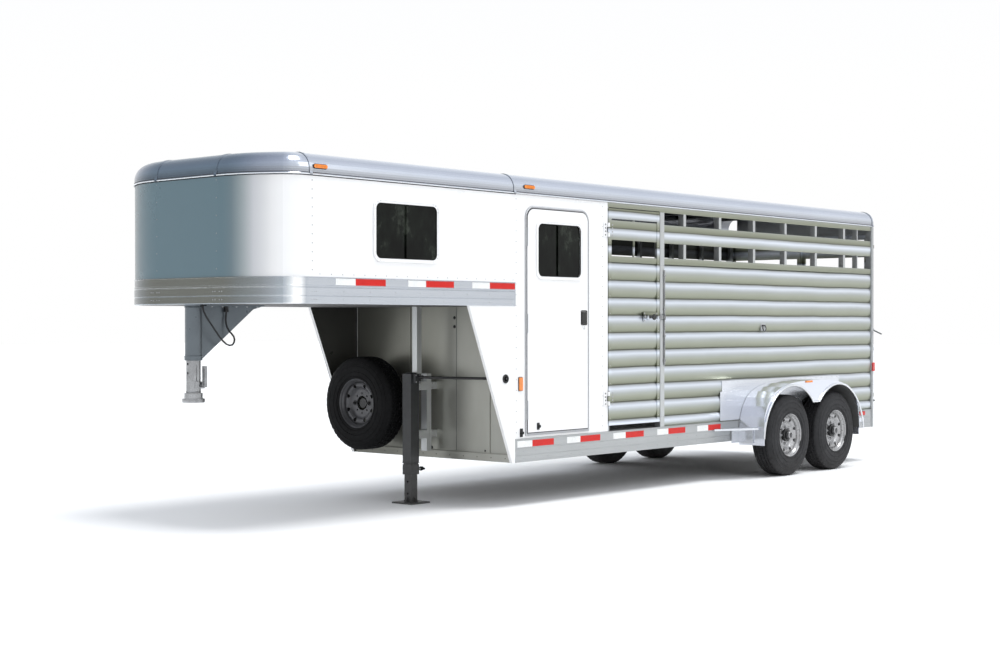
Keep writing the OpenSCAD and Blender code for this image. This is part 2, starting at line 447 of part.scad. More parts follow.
// ---------------------------------------------------------------- side gate of the stock area
ex0 = -220; ex1 = 538; ez0 = 597; ez1 = 2464;
module escape_door() color("silver") {
  // frame
  bx([ex1-44,hw-18,ez0],[ex1,hw+2,ez1]); bx([ex0,hw-18,ez0],[ex0+40,hw+2,ez1]);
  bx([ex0+40,hw-18,ez0],[ex1-44,hw+1,ez0+30]); bx([ex0+40,hw-18,2376],[ex1-44,hw+1,ez1]);
  // slats
  intersection() { xext(ex0+39, ex1-43) polygon(concat([[hw-19,sill-4],[hw-19,floor_z]], slat_face(hw-1, floor_z, sill-4)));
    bx([ex0,hw-18,ez0+10],[ex1,hw+10,sill]); }
  bx([ex0+39,hw-18,s2t+4],[ex1-43,hw-2,2362]);
  bx([152,hw-18,sill-6],[166,hw-4,s2t+6]); bx([152,hw-18,2360],[166,hw-4,2378]);
  // hinge leaves and knuckles
  for (z=[830,2276]) { bx([470,hw+2,z-62],[538,hw+7,z+62]); translate([552,hw+14,z-20]) cylinder(h=40, r=12); bx([520,hw+3,z-20],[552,hw+9,z+20]); }
  // latch plate and guide
  bx([-205,hw+2,1490],[30,hw+6,1572]);
  for (x=[-150,0]) difference() { bx([x-10,hw+6,1512],[x+10,hw+36,1550]); bx([x-30,hw+10,1518],[x+30,hw+26,1544]); }
}
module escape_latch() color("silver") {
  bx([-268,hw+10.5,1518.5],[40,hw+25.5,1543.5]);
  translate([-75,hw+25.5,1531]) rotate([-90,0,0]) cylinder(h=16, r=15);
  translate([-75,hw+41.5,1531]) rotate([-90,0,0]) cylinder(h=8, r=26);
}
// ---------------------------------------------------------------- rear
gx0 = -4230; gx1 = -4196;
module rear_slats(xo, th, ya, yb, z0=620) yext(ya, yb) polygon(concat([[xo+th,sill],[xo+th,z0]], [for (p=slat_face(-xo, z0, sill)) [-p[0], p[1]]]));
module rear_gate() color("silver") {
  bx([gx0,-(hw-16),560],[gx1,-(hw-76),2460]); bx([gx0,hw-80,560],[gx1,hw-20,2460]);
  bx([gx0,-(hw-76),560],[gx1,hw-80,620]); bx([gx0,-(hw-76),2400],[gx1,hw-80,2460]);
  bx([gx0,-20,620],[gx1,20,2400]);
  // slatted fixed half, open at the slots
  rear_slats(gx0+3, 20, -(hw-76.8), -20.8, 620.8);
  bx([gx0+6,-(hw-76.8),s2t],[gx0+22,-20.8,s1b]);
  // tracks for the sliding half
  for (z=[566,2432]) { bx([gx0-40,-(hw-60),z],[gx0,hw-60,z+22]); }
  bx([gx0-40,-(hw-60),588],[gx0-34,hw-60,600]); bx([gx0-40,-(hw-60),2420],[gx0-34,hw-60,2432]);
  // hinge knuckles on the far side
  for (z=[760,1500,2240]) { translate([-4213,-(hw-4),z-40]) cylinder(h=80, r=12); bx([-4225,-(hw-4),z-40],[-4203,-(hw-18),z+40]); }
  // guides of the latch rod
  for (z=[700,1200,2300]) difference() { bx([-4262,hw-46,z-18],[gx0,hw-22,z+18]); translate([-4248,hw-34,z-30]) cylinder(h=60, r=9.06); }
}
module rear_slider() color("silver") {
  bx([-4258,10,592],[-4240,60,2428]); bx([-4258,hw-130,592],[-4240,hw-80,2428]);
  bx([-4258,60,592],[-4240,hw-130,640]); bx([-4258,60,2380],[-4240,hw-130,2428]);
  rear_slats(-4257, 16, 59, hw-129);
  bx([-4254,60,s2t],[-4243,hw-130,s1b]);
  bx([-4272,hw-115,1480],[-4258,hw-99,1600]);
}
module gate_latch() color("silver") {
  translate([-4248,hw-34,590]) cylinder(h=1830, r=9);
  translate([-4248,hw-34,1392]) cylinder(h=26, r=15);
  // handle
  translate([-4248,hw-34,1405]) rotate([0,0,0]) rotate([-114,0,0]) cylinder(h=118, r=8);
  bx([-4256,hw-36,630],[-4240,hw-6,650]);
}
// ---------------------------------------------------------------- lamps
module lights() {
  color("orange") {
    for (x=[3890,1604]) both() translate([x,hw+4.05,2574]) rotate([-90,0,0]) linear_extrude(11) { square([100,26],center=true); for (s=[-1,1]) translate([s*50,0]) circle(13); }
    both() yext(hw, hw+12) translate([1690,936]) square([44,104]);
    both() yext(hw+278, hw+290) translate([-2410,893]) square([110,20]);
  }
  color("red") {
    both() {
      // tail lamp wrapped on the rear corner, and the rear side marker
      yext(hw+8, hw+22) rrect(rx-10, 958, rx+30, 1052, 10);
      yext(hw+3, hw+12) rrect(-4000, 494, -3880, 534, 8);
    }
  }
}

side_rails();
crossmembers();
floor_planks();
slats_left();
slats_right();
slot_slats();
side_posts();
rear_frame();
roof_rails();
nose_cap();
roof_skin();
roof_bows();
nose_skin();
side_skin_left();
side_skin_right();
band_rails();
nose_band();
nose_floor();
bulkhead();
wing_panels();
partition_wall();
fender_left();
fender_right();
steps();
axle_beams();
tyre_fl();
tyre_rl();
tyre_fr();
tyre_rr();
rim_fl();
rim_rl();
rim_fr();
rim_rr();
spare_tyre();
spare_rim();
spare_carrier();
jack_mount();
jack_housing();
jack_inner_tube();
jack_drop_leg();
jack_plunger();
jack_crank_shaft();
coupler_tube();
coupler_stem();
coupler_latch();
trailer_cord();
door_frame();
dress_door();
dress_door_glass();
dress_door_pane();
dress_latch();
nose_windows();
nose_glass();
nose_pane();
escape_door();
escape_latch();
rear_gate();
rear_slider();
gate_latch();
lights();
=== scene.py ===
# Looks of the livestock trailer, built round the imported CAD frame. Metres, +X nose, +Y near side, +Z up.
import json
import math
import bpy
import bmesh
import numpy as np
from mathutils import Matrix, Vector


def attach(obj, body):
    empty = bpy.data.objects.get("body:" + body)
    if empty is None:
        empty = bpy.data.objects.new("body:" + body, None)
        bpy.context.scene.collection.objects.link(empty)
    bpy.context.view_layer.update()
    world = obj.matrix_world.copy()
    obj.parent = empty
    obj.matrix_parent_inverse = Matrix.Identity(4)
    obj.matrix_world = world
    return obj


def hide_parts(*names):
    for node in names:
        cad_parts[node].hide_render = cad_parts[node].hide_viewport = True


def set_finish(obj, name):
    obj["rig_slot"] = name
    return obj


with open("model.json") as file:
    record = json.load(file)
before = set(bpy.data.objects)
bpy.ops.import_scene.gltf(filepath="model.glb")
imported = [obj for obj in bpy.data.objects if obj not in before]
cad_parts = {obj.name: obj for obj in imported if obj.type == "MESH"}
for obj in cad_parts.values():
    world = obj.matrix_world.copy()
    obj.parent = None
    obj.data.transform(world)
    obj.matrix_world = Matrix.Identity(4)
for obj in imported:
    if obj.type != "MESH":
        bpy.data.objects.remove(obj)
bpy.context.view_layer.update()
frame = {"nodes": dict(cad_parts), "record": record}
sc = bpy.context.scene
nodes = frame["nodes"]

# ------------------------------------------------------------------ camera
a, p, r = math.radians(220.792), math.radians(-0.34), math.radians(-0.054)
fwd = Vector((math.cos(a) * math.cos(p), math.sin(a) * math.cos(p), math.sin(p)))
right = Vector((math.sin(a), -math.cos(a), 0))
up = right.cross(fwd)
ri = right * math.cos(r) + up * math.sin(r)
uu = -right * math.sin(r) + up * math.cos(r)
cam = bpy.data.objects.new("camera", bpy.data.cameras.new("camera"))
sc.collection.objects.link(cam)
m = Matrix((ri, uu, -fwd)).transposed().to_4x4()
m.translation = Vector((11.665, 9.290, 1.471))
cam.matrix_world = m
cam.data.sensor_width = 36
cam.data.lens = 58.363
cam.data.clip_end = 500
sc.camera = cam
sc.view_settings.view_transform = "Standard"
sc.view_settings.look = "None"

# ------------------------------------------------------------------ dimensions, as in the CAD source
HW = 0.915
FX, NSX, NFX, NFY = 1.774, 3.996, 4.340, 0.350
# two tangent arcs join the side wall to the flat of the nose and meet where the wall has turned to 40 degrees
TH = math.radians(40)
ST, CT = math.sin(TH), math.cos(TH)
R1 = (ST * (NFX - NSX) - (1 - CT) * (HW - NFY)) / (ST * CT - (1 - CT) * (1 - ST))
R2 = (HW - NFY - R1 * (1 - ST)) / ST
RX = -4.190
RAIL, FLOOR, BAND, BANDT, WT = 0.359, 0.550, 1.613, 1.802, 2.511
AX1, AX2, HZ = -2.048, -2.933, 0.392
TY0, TYW = 0.945, 0.235
SILL = 2.058
JX, JY, CX = 2.064, 0.036, 4.276


def plan_point(s, out=0.0):
    """Point and outward direction on the wall line round the nose. s is metres from the start of the near corner."""
    l1, l2 = R1 * (math.pi / 2 - TH), R2 * TH
    if s < 0:
        return Vector((NSX + s, HW + out, 0)), Vector((0, 1, 0))
    if s < l1:
        t = math.radians(90) - s / R1
        d = Vector((math.cos(t), math.sin(t), 0))
        return Vector((NSX, HW - R1, 0)) + d * (R1 + out), d
    s -= l1
    if s < l2:
        t = TH - s / R2
        d = Vector((math.cos(t), math.sin(t), 0))
        return Vector((NFX - R2, NFY, 0)) + d * (R2 + out), d
    s -= l2
    if s < 2 * NFY:
        return Vector((NFX + out, NFY - s, 0)), Vector((1, 0, 0))
    q, d = plan_point(l1 + l2 - (s - 2 * NFY), out)
    return Vector((q.x, -q.y, 0)), Vector((d.x, -d.y, 0))


NOSE_LEN = 2 * (R1 * (math.pi / 2 - TH) + R2 * TH) + 2 * NFY


# ------------------------------------------------------------------ mesh making
class Mesh:
    def __init__(self):
        self.v, self.f, self.sm = [], [], []

    def add(self, v, f, smooth=True):
        n = len(self.v)
        self.v += [tuple(q) for q in v]
        self.f += [[i + n for i in q] for q in f]
        self.sm += [smooth] * len(f)

    def box(self, lo, hi, b=0.0015, rot=None):
        """A box with chamfered edges."""
        c = (Vector(lo) + Vector(hi)) / 2
        h = (Vector(hi) - Vector(lo)) / 2
        b = min(b, h.x * 0.6, h.y * 0.6, h.z * 0.6)
        bm = bmesh.new()
        for sx in (-1, 1):
            for sy in (-1, 1):
                for sz in (-1, 1):
                    for k in range(3):
                        q = [sx * h.x, sy * h.y, sz * h.z]
                        for j in range(3):
                            if j != k:
                                q[j] -= (sx, sy, sz)[j] * b
                        bm.verts.new(q)
        bmesh.ops.convex_hull(bm, input=bm.verts[:])
        bmesh.ops.dissolve_limit(bm, angle_limit=0.02, verts=bm.verts[:], edges=bm.edges[:])
        bm.verts.index_update()
        v = [Vector(q.co) for q in bm.verts]
        if rot is not None:
            v = [rot @ q for q in v]
        self.add([q + c for q in v], [[q.index for q in g.verts] for g in bm.faces], False)
        bm.free()

    def lathe(self, prof, origin, axis, n=24, ang0=0.0):
        """Turns (radius, distance along the axis) points round the axis."""
        ax = Vector(axis).normalized()
        e1 = ax.orthogonal().normalized()
        e2 = ax.cross(e1)
        o = Vector(origin)
        v, f = [], []
        k = len(prof)
        for i in range(n):
            t = ang0 + 2 * math.pi * i / n
            d = e1 * math.cos(t) + e2 * math.sin(t)
            for (rr, hh) in prof:
                v.append(o + ax * hh + d * max(rr, 1e-5))
        for i in range(n):
            j = (i + 1) % n
            for q in range(k - 1):
                f.append([i * k + q, i * k + q + 1, j * k + q + 1, j * k + q])
        f.append([i * k for i in range(n)][::-1])
        f.append([i * k + k - 1 for i in range(n)])
        self.add(v, f)

    def rivet(self, o, d, rr=0.0045, hh=0.0022):
        self.lathe([(rr, -0.0006), (rr, hh * 0.3), (rr * 0.82, hh * 0.75), (rr * 0.4, hh), (0.0002, hh * 1.02)], o, d, 8)

    def screw(self, o, d, rr=0.006, hh=0.004, hexa=True):
        self.lathe([(rr * 1.55, -0.0008), (rr * 1.55, 0.0008), (rr * 1.05, 0.0012)], o, d, 16)
        self.lathe([(rr, 0.001), (rr, hh * 0.8), (rr * 0.8, hh), (0.0002, hh)], o, d, 6 if hexa else 12)

    def tube(self, path, rr, n=10, closed=False, flat=1.0):
        """A tube along a path."""
        pts = [Vector(q) for q in path]
        m0 = len(pts)
        v, f = [], []
        prev = None
        for i in range(m0):
            if closed:
                t = pts[(i + 1) % m0] - pts[i - 1]
            else:
                t = pts[min(i + 1, m0 - 1)] - pts[max(i - 1, 0)]
            t.normalize()
            if prev is None:
                e = t.orthogonal().normalized()
            else:
                e = (prev - t * prev.dot(t)).normalized()
            prev = e
            g = t.cross(e)
            for j in range(n):
                w = 2 * math.pi * j / n
                v.append(pts[i] + (e * math.cos(w) * flat + g * math.sin(w)) * rr)
        last = m0 if closed else m0 - 1
        for i in range(last):
            i2 = (i + 1) % m0
            off = 0
            if closed and i2 == 0:
                # line the seam up
                best = min(range(n), key=lambda s: (v[i * n] - v[s]).length)
                off = best
            for j in range(n):
                f.append([i * n + j, i * n + (j + 1) % n, i2 * n + (j + 1 + off) % n, i2 * n + (j + off) % n])
        if not closed:
            f.append(list(range(n))[::-1])
            f.append([(m0 - 1) * n + j for j in range(n)])
        self.add(v, f)

    def strip(self, path, nrm, z0, z1, t, b=0.0006):
        """A thin strip along a plan path, standing t proud of the wall, z0 to z1, with chamfered edges."""
        v, f = [], []
        for q, d in zip(path, nrm):
            q, d = Vector(q), Vector(d)
            for (o, z) in ((0, z0), (t - b, z0), (t, z0 + b), (t, z1 - b), (t - b, z1), (0, z1)):
                w = q + d * o
                v.append((w.x, w.y, z))
        n = len(path)
        for i in range(n - 1):
            for j in range(6):
                f.append([i * 6 + j, i * 6 + (j + 1) % 6, (i + 1) * 6 + (j + 1) % 6, (i + 1) * 6 + j])
        f.append(list(range(6)))
        f.append([(n - 1) * 6 + j for j in range(6)][::-1])
        self.add(v, f, False)

    def make(self, name, mat, body, slot=None, replaces=(), angle=40):
        me = bpy.data.meshes.new(name)
        me.from_pydata([tuple(q) for q in self.v], [], self.f)
        bm = bmesh.new()
        bm.from_mesh(me)
        bmesh.ops.remove_doubles(bm, verts=bm.verts[:], dist=2e-6)
        bmesh.ops.dissolve_degenerate(bm, dist=1e-6, edges=bm.edges[:])
        bmesh.ops.recalc_face_normals(bm, faces=bm.faces[:])
        bm.to_mesh(me)
        bm.free()
        me.materials.append(mat)
        ob = bpy.data.objects.new(name, me)
        sc.collection.objects.link(ob)
        me.set_sharp_from_angle(angle=math.radians(angle))
        for q in me.polygons:
            q.use_smooth = True
        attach(ob, body)
        if replaces:
            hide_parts(*replaces)
        if slot:
            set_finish(ob, slot)
        return ob


def mirror_y(q):
    q = Vector(q)
    return Vector((q.x, -q.y, q.z))


# ------------------------------------------------------------------ materials
def ramp(nt, stops, interp="LINEAR"):
    n = nt.nodes.new("ShaderNodeValToRGB")
    e = n.color_ramp.elements
    n.color_ramp.interpolation = interp
    while len(e) > 1:
        e.remove(e[-1])
    e[0].position = stops[0][0]
    c = stops[0][1]
    e[0].color = (*c, 1) if hasattr(c, "__len__") else (c, c, c, 1)
    for (pos, c) in stops[1:]:
        q = e.new(pos)
        q.color = (*c, 1) if hasattr(c, "__len__") else (c, c, c, 1)
    return n


def mathn(nt, op, x, y=None, z=None):
    n = nt.nodes.new("ShaderNodeMath")
    n.operation = op
    for k, val in enumerate((x, y, z)):
        if val is None:
            continue
        if isinstance(val, (int, float)):
            n.inputs[k].default_value = val
        else:
            nt.links.new(val, n.inputs[k])
    return n.outputs[0]


def mixc(nt, fac, c1, c2, mode="MIX"):
    n = nt.nodes.new("ShaderNodeMix")
    n.data_type = "RGBA"
    n.blend_type = mode
    for key, val in ((0, fac), (6, c1), (7, c2)):
        if isinstance(val, (int, float)):
            n.inputs[key].default_value = val
        elif isinstance(val, tuple):
            n.inputs[key].default_value = (*val, 1)
        else:
            nt.links.new(val, n.inputs[key])
    return n.outputs[2]


def noise(nt, vec, scale, detail=4, rough=0.55, stretch=(1, 1, 1)):
    mp = nt.nodes.new("ShaderNodeMapping")
    mp.inputs["Scale"].default_value = stretch
    nt.links.new(vec, mp.inputs["Vector"])
    n = nt.nodes.new("ShaderNodeTexNoise")
    n.inputs["Scale"].default_value = scale
    n.inputs["Detail"].default_value = detail
    n.inputs["Roughness"].default_value = rough
    nt.links.new(mp.outputs[0], n.inputs["Vector"])
    return n.outputs[0]


def material(name, col, metal=0.0, rough=0.4, coat=0.0, var=0.05, vscale=2.5, rvar=0.08, bump=0.15, bscale=300, bdist=0.0004,
             stretch=(1, 1, 1), streak=0.0, dirt=None, paint=None, spec=0.5, alpha=None, transmission=None, ior=1.45, emit=None):
    """A procedural material: broad colour variation, streaks along the rolling direction, roughness variation and
    fine bump.
    paint(nt, coords, normal) gives the base colour of a piece; for most pieces it holds painted highlights, painted
    reflections and painted shade that change along its profile or with its facing."""
    mt = bpy.data.materials.new(name)
    mt.use_nodes = True
    nt = mt.node_tree
    bs = nt.nodes["Principled BSDF"]
    tc = nt.nodes.new("ShaderNodeTexCoord")
    co, nr = tc.outputs["Object"], tc.outputs["Normal"]
    base = paint(nt, co, nr) if paint else None
    broad = noise(nt, co, vscale, 5, 0.6)
    lo, hi = 1 - var * 2.2, 1 + var
    shade = ramp(nt, [(0.3, min(lo, 1)), (0.7, min(hi, 1))])
    nt.links.new(broad, shade.inputs[0])
    c = mixc(nt, 1.0, base if base is not None else tuple(col), shade.outputs[0], "MULTIPLY")
    if streak:
        sn = noise(nt, co, 1.0, 3, 0.6, stretch)
        sr = ramp(nt, [(0.3, 1 - streak), (0.7, 1.0)])
        nt.links.new(sn, sr.inputs[0])
        c = mixc(nt, 1.0, c, sr.outputs[0], "MULTIPLY")
    if dirt:
        # dust and road film, more towards the ground
        sep = nt.nodes.new("ShaderNodeSeparateXYZ")
        nt.links.new(co, sep.inputs[0])
        hgt = nt.nodes.new("ShaderNodeMapRange")
        hgt.inputs["From Min"].default_value = dirt[1]
        hgt.inputs["From Max"].default_value = dirt[2]
        hgt.inputs["To Min"].default_value = dirt[3]
        hgt.inputs["To Max"].default_value = 0.0
        nt.links.new(sep.outputs[2], hgt.inputs[0])
        dn = noise(nt, co, 9, 6, 0.65)
        c = mixc(nt, mathn(nt, "MULTIPLY", hgt.outputs[0], dn), c, dirt[0])
    nt.links.new(c, bs.inputs["Base Color"])
    bs.inputs["Metallic"].default_value = metal
    rn = noise(nt, co, vscale * 3.1, 5, 0.6, stretch if streak else (1, 1, 1))
    mr = nt.nodes.new("ShaderNodeMapRange")
    mr.inputs["From Min"].default_value = 0.3
    mr.inputs["From Max"].default_value = 0.7
    mr.inputs["To Min"].default_value = max(rough - rvar, 0.02)
    mr.inputs["To Max"].default_value = min(rough + rvar, 1)
    nt.links.new(rn, mr.inputs[0])
    nt.links.new(mr.outputs[0], bs.inputs["Roughness"])
    bs.inputs["Specular IOR Level"].default_value = spec
    bs.inputs["Coat Weight"].default_value = coat
    bs.inputs["Coat Roughness"].default_value = 0.06
    bs.inputs["IOR"].default_value = ior
    if transmission:
        bs.inputs["Transmission Weight"].default_value = transmission
    if alpha is not None:
        bs.inputs["Alpha"].default_value = alpha
    if emit:
        bs.inputs["Emission Color"].default_value = (*emit[0], 1)
        bs.inputs["Emission Strength"].default_value = emit[1]
    if bump:
        bn = noise(nt, co, bscale, 3, 0.5, stretch if streak else (1, 1, 1))
        bp = nt.nodes.new("ShaderNodeBump")
        bp.inputs["Strength"].default_value = bump
        bp.inputs["Distance"].default_value = bdist
        nt.links.new(bn, bp.inputs["Height"])
        nt.links.new(bp.outputs[0], bs.inputs["Normal"])
    return mt


def by_height(z0, pitch, stops):
    """Colour along each slat: a painted highlight where the crown faces up, painted shade where it rolls under, and a
    dark joint line.
    """
    def paint(nt, co, nr):
        sep = nt.nodes.new("ShaderNodeSeparateXYZ")
        nt.links.new(co, sep.inputs[0])
        wob = noise(nt, co, 1.3, 3, 0.5)
        zz = mathn(nt, "ADD", sep.outputs[2], mathn(nt, "MULTIPLY", mathn(nt, "SUBTRACT", wob, 0.5), 0.02))
        t = mathn(nt, "FRACT", mathn(nt, "DIVIDE", mathn(nt, "SUBTRACT", zz, z0 - 20 * pitch), pitch))
        rp = ramp(nt, stops)
        nt.links.new(t, rp.inputs[0])
        return rp.outputs[0]
    return paint


def by_level(stops, z0, z1):
    def paint(nt, co, nr):
        sep = nt.nodes.new("ShaderNodeSeparateXYZ")
        nt.links.new(co, sep.inputs[0])
        mr = nt.nodes.new("ShaderNodeMapRange")
        mr.inputs["From Min"].default_value = z0
        mr.inputs["From Max"].default_value = z1
        nt.links.new(sep.outputs[2], mr.inputs[0])
        rp = ramp(nt, stops)
        nt.links.new(mr.outputs[0], rp.inputs[0])
        return rp.outputs[0]
    return paint


def by_normal_z(stops):
    """Painted reflection: colour by how far the surface faces up, standing in for the ground and sky that polished
    aluminium mirrors.
    """
    def paint(nt, co, nr):
        sep = nt.nodes.new("ShaderNodeSeparateXYZ")
        nt.links.new(nr, sep.inputs[0])
        t = mathn(nt, "MULTIPLY_ADD", sep.outputs[2], 0.5, 0.5)
        rp = ramp(nt, stops)
        nt.links.new(t, rp.inputs[0])
        return rp.outputs[0]
    return paint


DUST = (0.32, 0.29, 0.25)
M = {}
M["rail_aluminium"] = material("rail_aluminium", (0.43, 0.445, 0.45), 0.75, 0.32, var=0.03, vscale=0.8, rvar=0.05, streak=0.05, stretch=(0.5, 30, 30), bump=0.05, bscale=20, dirt=(DUST, 0.3, 0.9, 0.15))
M["mill_aluminium"] = material("mill_aluminium", (0.15, 0.153, 0.155), 0.8, 0.45, var=0.1, streak=0.15, stretch=(2, 30, 30), bump=0.2)
M["floor_aluminium"] = material("floor_aluminium", (0.4, 0.4, 0.4), 0.7, 0.5, var=0.12, streak=0.2, stretch=(1, 50, 50), bump=0.3)
# painted highlight and shade across each slat's crown, with the dark joint line at the ends of the pitch
SLAT_PAINTED_LIGHT_AND_JOINTS = [(0.0, (0.10, 0.105, 0.08)), (0.03, (0.20, 0.21, 0.155)), (0.14, (0.27, 0.285, 0.215)), (0.32, (0.33, 0.345, 0.28)), (0.46, (0.38, 0.40, 0.36)), (0.56, (0.46, 0.49, 0.49)),
        (0.66, (0.60, 0.64, 0.68)), (0.76, (0.74, 0.79, 0.86)), (0.84, (0.62, 0.66, 0.73)), (0.91, (0.47, 0.50, 0.53)), (0.96, (0.33, 0.345, 0.34)), (0.985, (0.11, 0.115, 0.10)), (1.0, (0.09, 0.09, 0.08))]


def inner_painted_shade(nt, co, nr, base, k=0.13):
    # painted shade: the faces of both walls that look into the stock area are painted dull and dark, as if unlit
    a0 = nt.nodes.new("ShaderNodeSeparateXYZ")
    nt.links.new(co, a0.inputs[0])
    b0 = nt.nodes.new("ShaderNodeSeparateXYZ")
    nt.links.new(nr, b0.inputs[0])
    f = mathn(nt, "LESS_THAN", mathn(nt, "MULTIPLY", a0.outputs[1], b0.outputs[1]), -0.1)
    return mixc(nt, f, base, mixc(nt, 1.0, base, (k, k, k), "MULTIPLY"))


def slat_paint(nt, co, nr):
    # painted highlight and shade along each slat, and painted shade on the inner faces
    return inner_painted_shade(nt, co, nr, by_height(0.646, 0.150, SLAT_PAINTED_LIGHT_AND_JOINTS)(nt, co, nr))


def post_paint(nt, co, nr):
    # painted shade on the inner faces of the posts
    return inner_painted_shade(nt, co, nr, (0.50, 0.515, 0.515), 0.2)


def roof_paint(nt, co, nr):
    # painted shade: the underside of the roof is painted near black
    b0 = nt.nodes.new("ShaderNodeSeparateXYZ")
    nt.links.new(nr, b0.inputs[0])
    return mixc(nt, mathn(nt, "LESS_THAN", b0.outputs[2], -0.5), (0.78, 0.79, 0.80), (0.07, 0.07, 0.07))


M["slat_aluminium"] = material("slat_aluminium", (0.7, 0.7, 0.7), 0.75, 0.30, var=0.03, vscale=0.9, rvar=0.02, streak=0.03, stretch=(0.35, 40, 40), bump=0.03, bscale=14,
                               paint=slat_paint)
M["post_aluminium"] = material("post_aluminium", (0.60, 0.62, 0.62), 0.72, 0.32, var=0.03, vscale=0.8, rvar=0.05, streak=0.05, stretch=(30, 30, 0.5), bump=0.04, bscale=20, paint=post_paint)
# painted reflection on the roof cap by how far it faces up
CAP_PAINTED_REFLECTION = [(0.0, (0.10, 0.10, 0.105)), (0.40, (0.18, 0.185, 0.20)), (0.49, (0.40, 0.42, 0.46)), (0.54, (0.54, 0.57, 0.62)), (0.64, (0.66, 0.70, 0.77)), (0.74, (0.58, 0.61, 0.69)), (0.85, (0.50, 0.53, 0.60)), (0.93, (0.62, 0.65, 0.71)), (1.0, (0.80, 0.83, 0.86))]


def cap_paint(nt, co, nr):
    # painted reflection by height of the roll, and painted shade where it faces forward
    side = by_normal_z(CAP_PAINTED_REFLECTION)(nt, co, nr)
    sep = nt.nodes.new("ShaderNodeSeparateXYZ")
    nt.links.new(nr, sep.inputs[0])
    plan = mathn(nt, "SQRT", mathn(nt, "MAXIMUM", mathn(nt, "SUBTRACT", 1.0, mathn(nt, "MULTIPLY", sep.outputs[2], sep.outputs[2])), 0.02))
    rp = ramp(nt, [(0.0, (1.0, 1.0, 1.0)), (0.30, (1.0, 1.0, 1.0)), (0.55, (0.92, 0.93, 0.94)), (0.75, (0.68, 0.70, 0.74)), (0.90, (0.46, 0.49, 0.54)), (0.96, (0.30, 0.35, 0.40)), (1.0, (0.20, 0.255, 0.30))])
    nt.links.new(mathn(nt, "DIVIDE", sep.outputs[0], plan), rp.inputs[0])
    return mixc(nt, 1.0, side, rp.outputs[0], "MULTIPLY")


M["polished_cap"] = material("polished_cap", (0.6, 0.62, 0.66), 0.82, 0.2, var=0.03, vscale=0.7, rvar=0.04, streak=0.03, stretch=(0.4, 20, 20), bump=0.03, bscale=12, paint=cap_paint)
M["roof_white"] = material("roof_white", (0.78, 0.79, 0.80), 0.0, 0.4, coat=0.2, var=0.05, bump=0.1, paint=roof_paint)
def nose_paint(nt, co, nr):
    # painted shade and painted reflection: the flat of the nose, which looks away from the sun and mirrors a dark
    # tree line, is painted dark; the near corner and side are painted bright, the far side darker
    sep = nt.nodes.new("ShaderNodeSeparateXYZ")
    nt.links.new(nr, sep.inputs[0])
    rp = ramp(nt, [(0.0, (0.80, 0.80, 0.80)), (0.76, (0.80, 0.80, 0.80)), (0.829, (0.70, 0.70, 0.70)), (0.857, (0.62, 0.625, 0.63)), (0.914, (0.48, 0.49, 0.51)), (0.956, (0.25, 0.29, 0.30)), (0.985, (0.105, 0.155, 0.178)), (1.0, (0.07, 0.13, 0.158))])
    nt.links.new(sep.outputs[0], rp.inputs[0])
    r2 = ramp(nt, [(0.0, (0.80, 0.80, 0.80)), (0.25, (0.70, 0.72, 0.73)), (0.55, (0.12, 0.15, 0.165)), (0.8, (0.06, 0.095, 0.115)), (1.0, (0.07, 0.13, 0.158))])
    nt.links.new(sep.outputs[0], r2.inputs[0])
    yy = nt.nodes.new("ShaderNodeSeparateXYZ")
    nt.links.new(co, yy.inputs[0])
    return mixc(nt, mathn(nt, "LESS_THAN", yy.outputs[1], 0.0), rp.outputs[0], r2.outputs[0])


M["white_skin"] = material("white_skin", (0.80, 0.80, 0.80), 0.0, 0.3, coat=0.3, var=0.012, vscale=0.7, rvar=0.05, bump=0.04, bscale=6, bdist=0.002, dirt=(DUST, 0.4, 1.2, 0.08))
# white nose skin carrying painted shade and painted reflection
NOSE_WHITE_PAINTED_SHADE = material("nose_white_painted_shade", (0.8, 0.8, 0.8), 0.0, 0.3, coat=0.3, var=0.012, vscale=0.7, rvar=0.05, bump=0.04, bscale=6, bdist=0.002, paint=nose_paint)
def band_paint(nt, co, nr):
    # painted reflection: dark and olive round the nose, a painted highlight on the near corner, light and bluish
    # along the side
    sep = nt.nodes.new("ShaderNodeSeparateXYZ")
    nt.links.new(nr, sep.inputs[0])
    rp = ramp(nt, [(0.0, (0.53, 0.56, 0.60)), (0.12, (0.50, 0.53, 0.57)), (0.30, (0.95, 0.96, 0.97)), (0.50, (0.98, 0.98, 0.98)), (0.62, (0.66, 0.70, 0.73)), (0.77, (0.37, 0.41, 0.45)), (0.88, (0.24, 0.26, 0.27)), (0.97, (0.17, 0.185, 0.185)), (1.0, (0.145, 0.15, 0.135))])
    nt.links.new(sep.outputs[0], rp.inputs[0])
    return rp.outputs[0]


M["polished_band"] = material("polished_band", (0.6, 0.62, 0.65), 0.82, 0.22, var=0.03, vscale=0.8, rvar=0.05, streak=0.03, stretch=(1.0, 1.0, 30), bump=0.03, bscale=20, paint=band_paint)
M["dark_underside"] = material("dark_underside", (0.10, 0.10, 0.10), 0.1, 0.6, var=0.15, bump=0.3)


def bulk_paint(nt, co, nr):
    # painted reflection of grass and sky on the bright sheet: olive grey, painted lighter towards the near side
    sep = nt.nodes.new("ShaderNodeSeparateXYZ")
    nt.links.new(co, sep.inputs[0])
    wob = noise(nt, co, 0.9, 4, 0.55, (1, 1.3, 0.5))
    t = mathn(nt, "ADD", mathn(nt, "MULTIPLY_ADD", sep.outputs[1], 0.34, 0.42), mathn(nt, "MULTIPLY", mathn(nt, "SUBTRACT", wob, 0.5), 0.55))
    rp = ramp(nt, [(0.05, (0.10, 0.10, 0.085)), (0.30, (0.17, 0.17, 0.145)), (0.5, (0.27, 0.27, 0.235)), (0.68, (0.38, 0.38, 0.35)), (0.9, (0.52, 0.52, 0.51))])
    nt.links.new(t, rp.inputs[0])
    return rp.outputs[0]


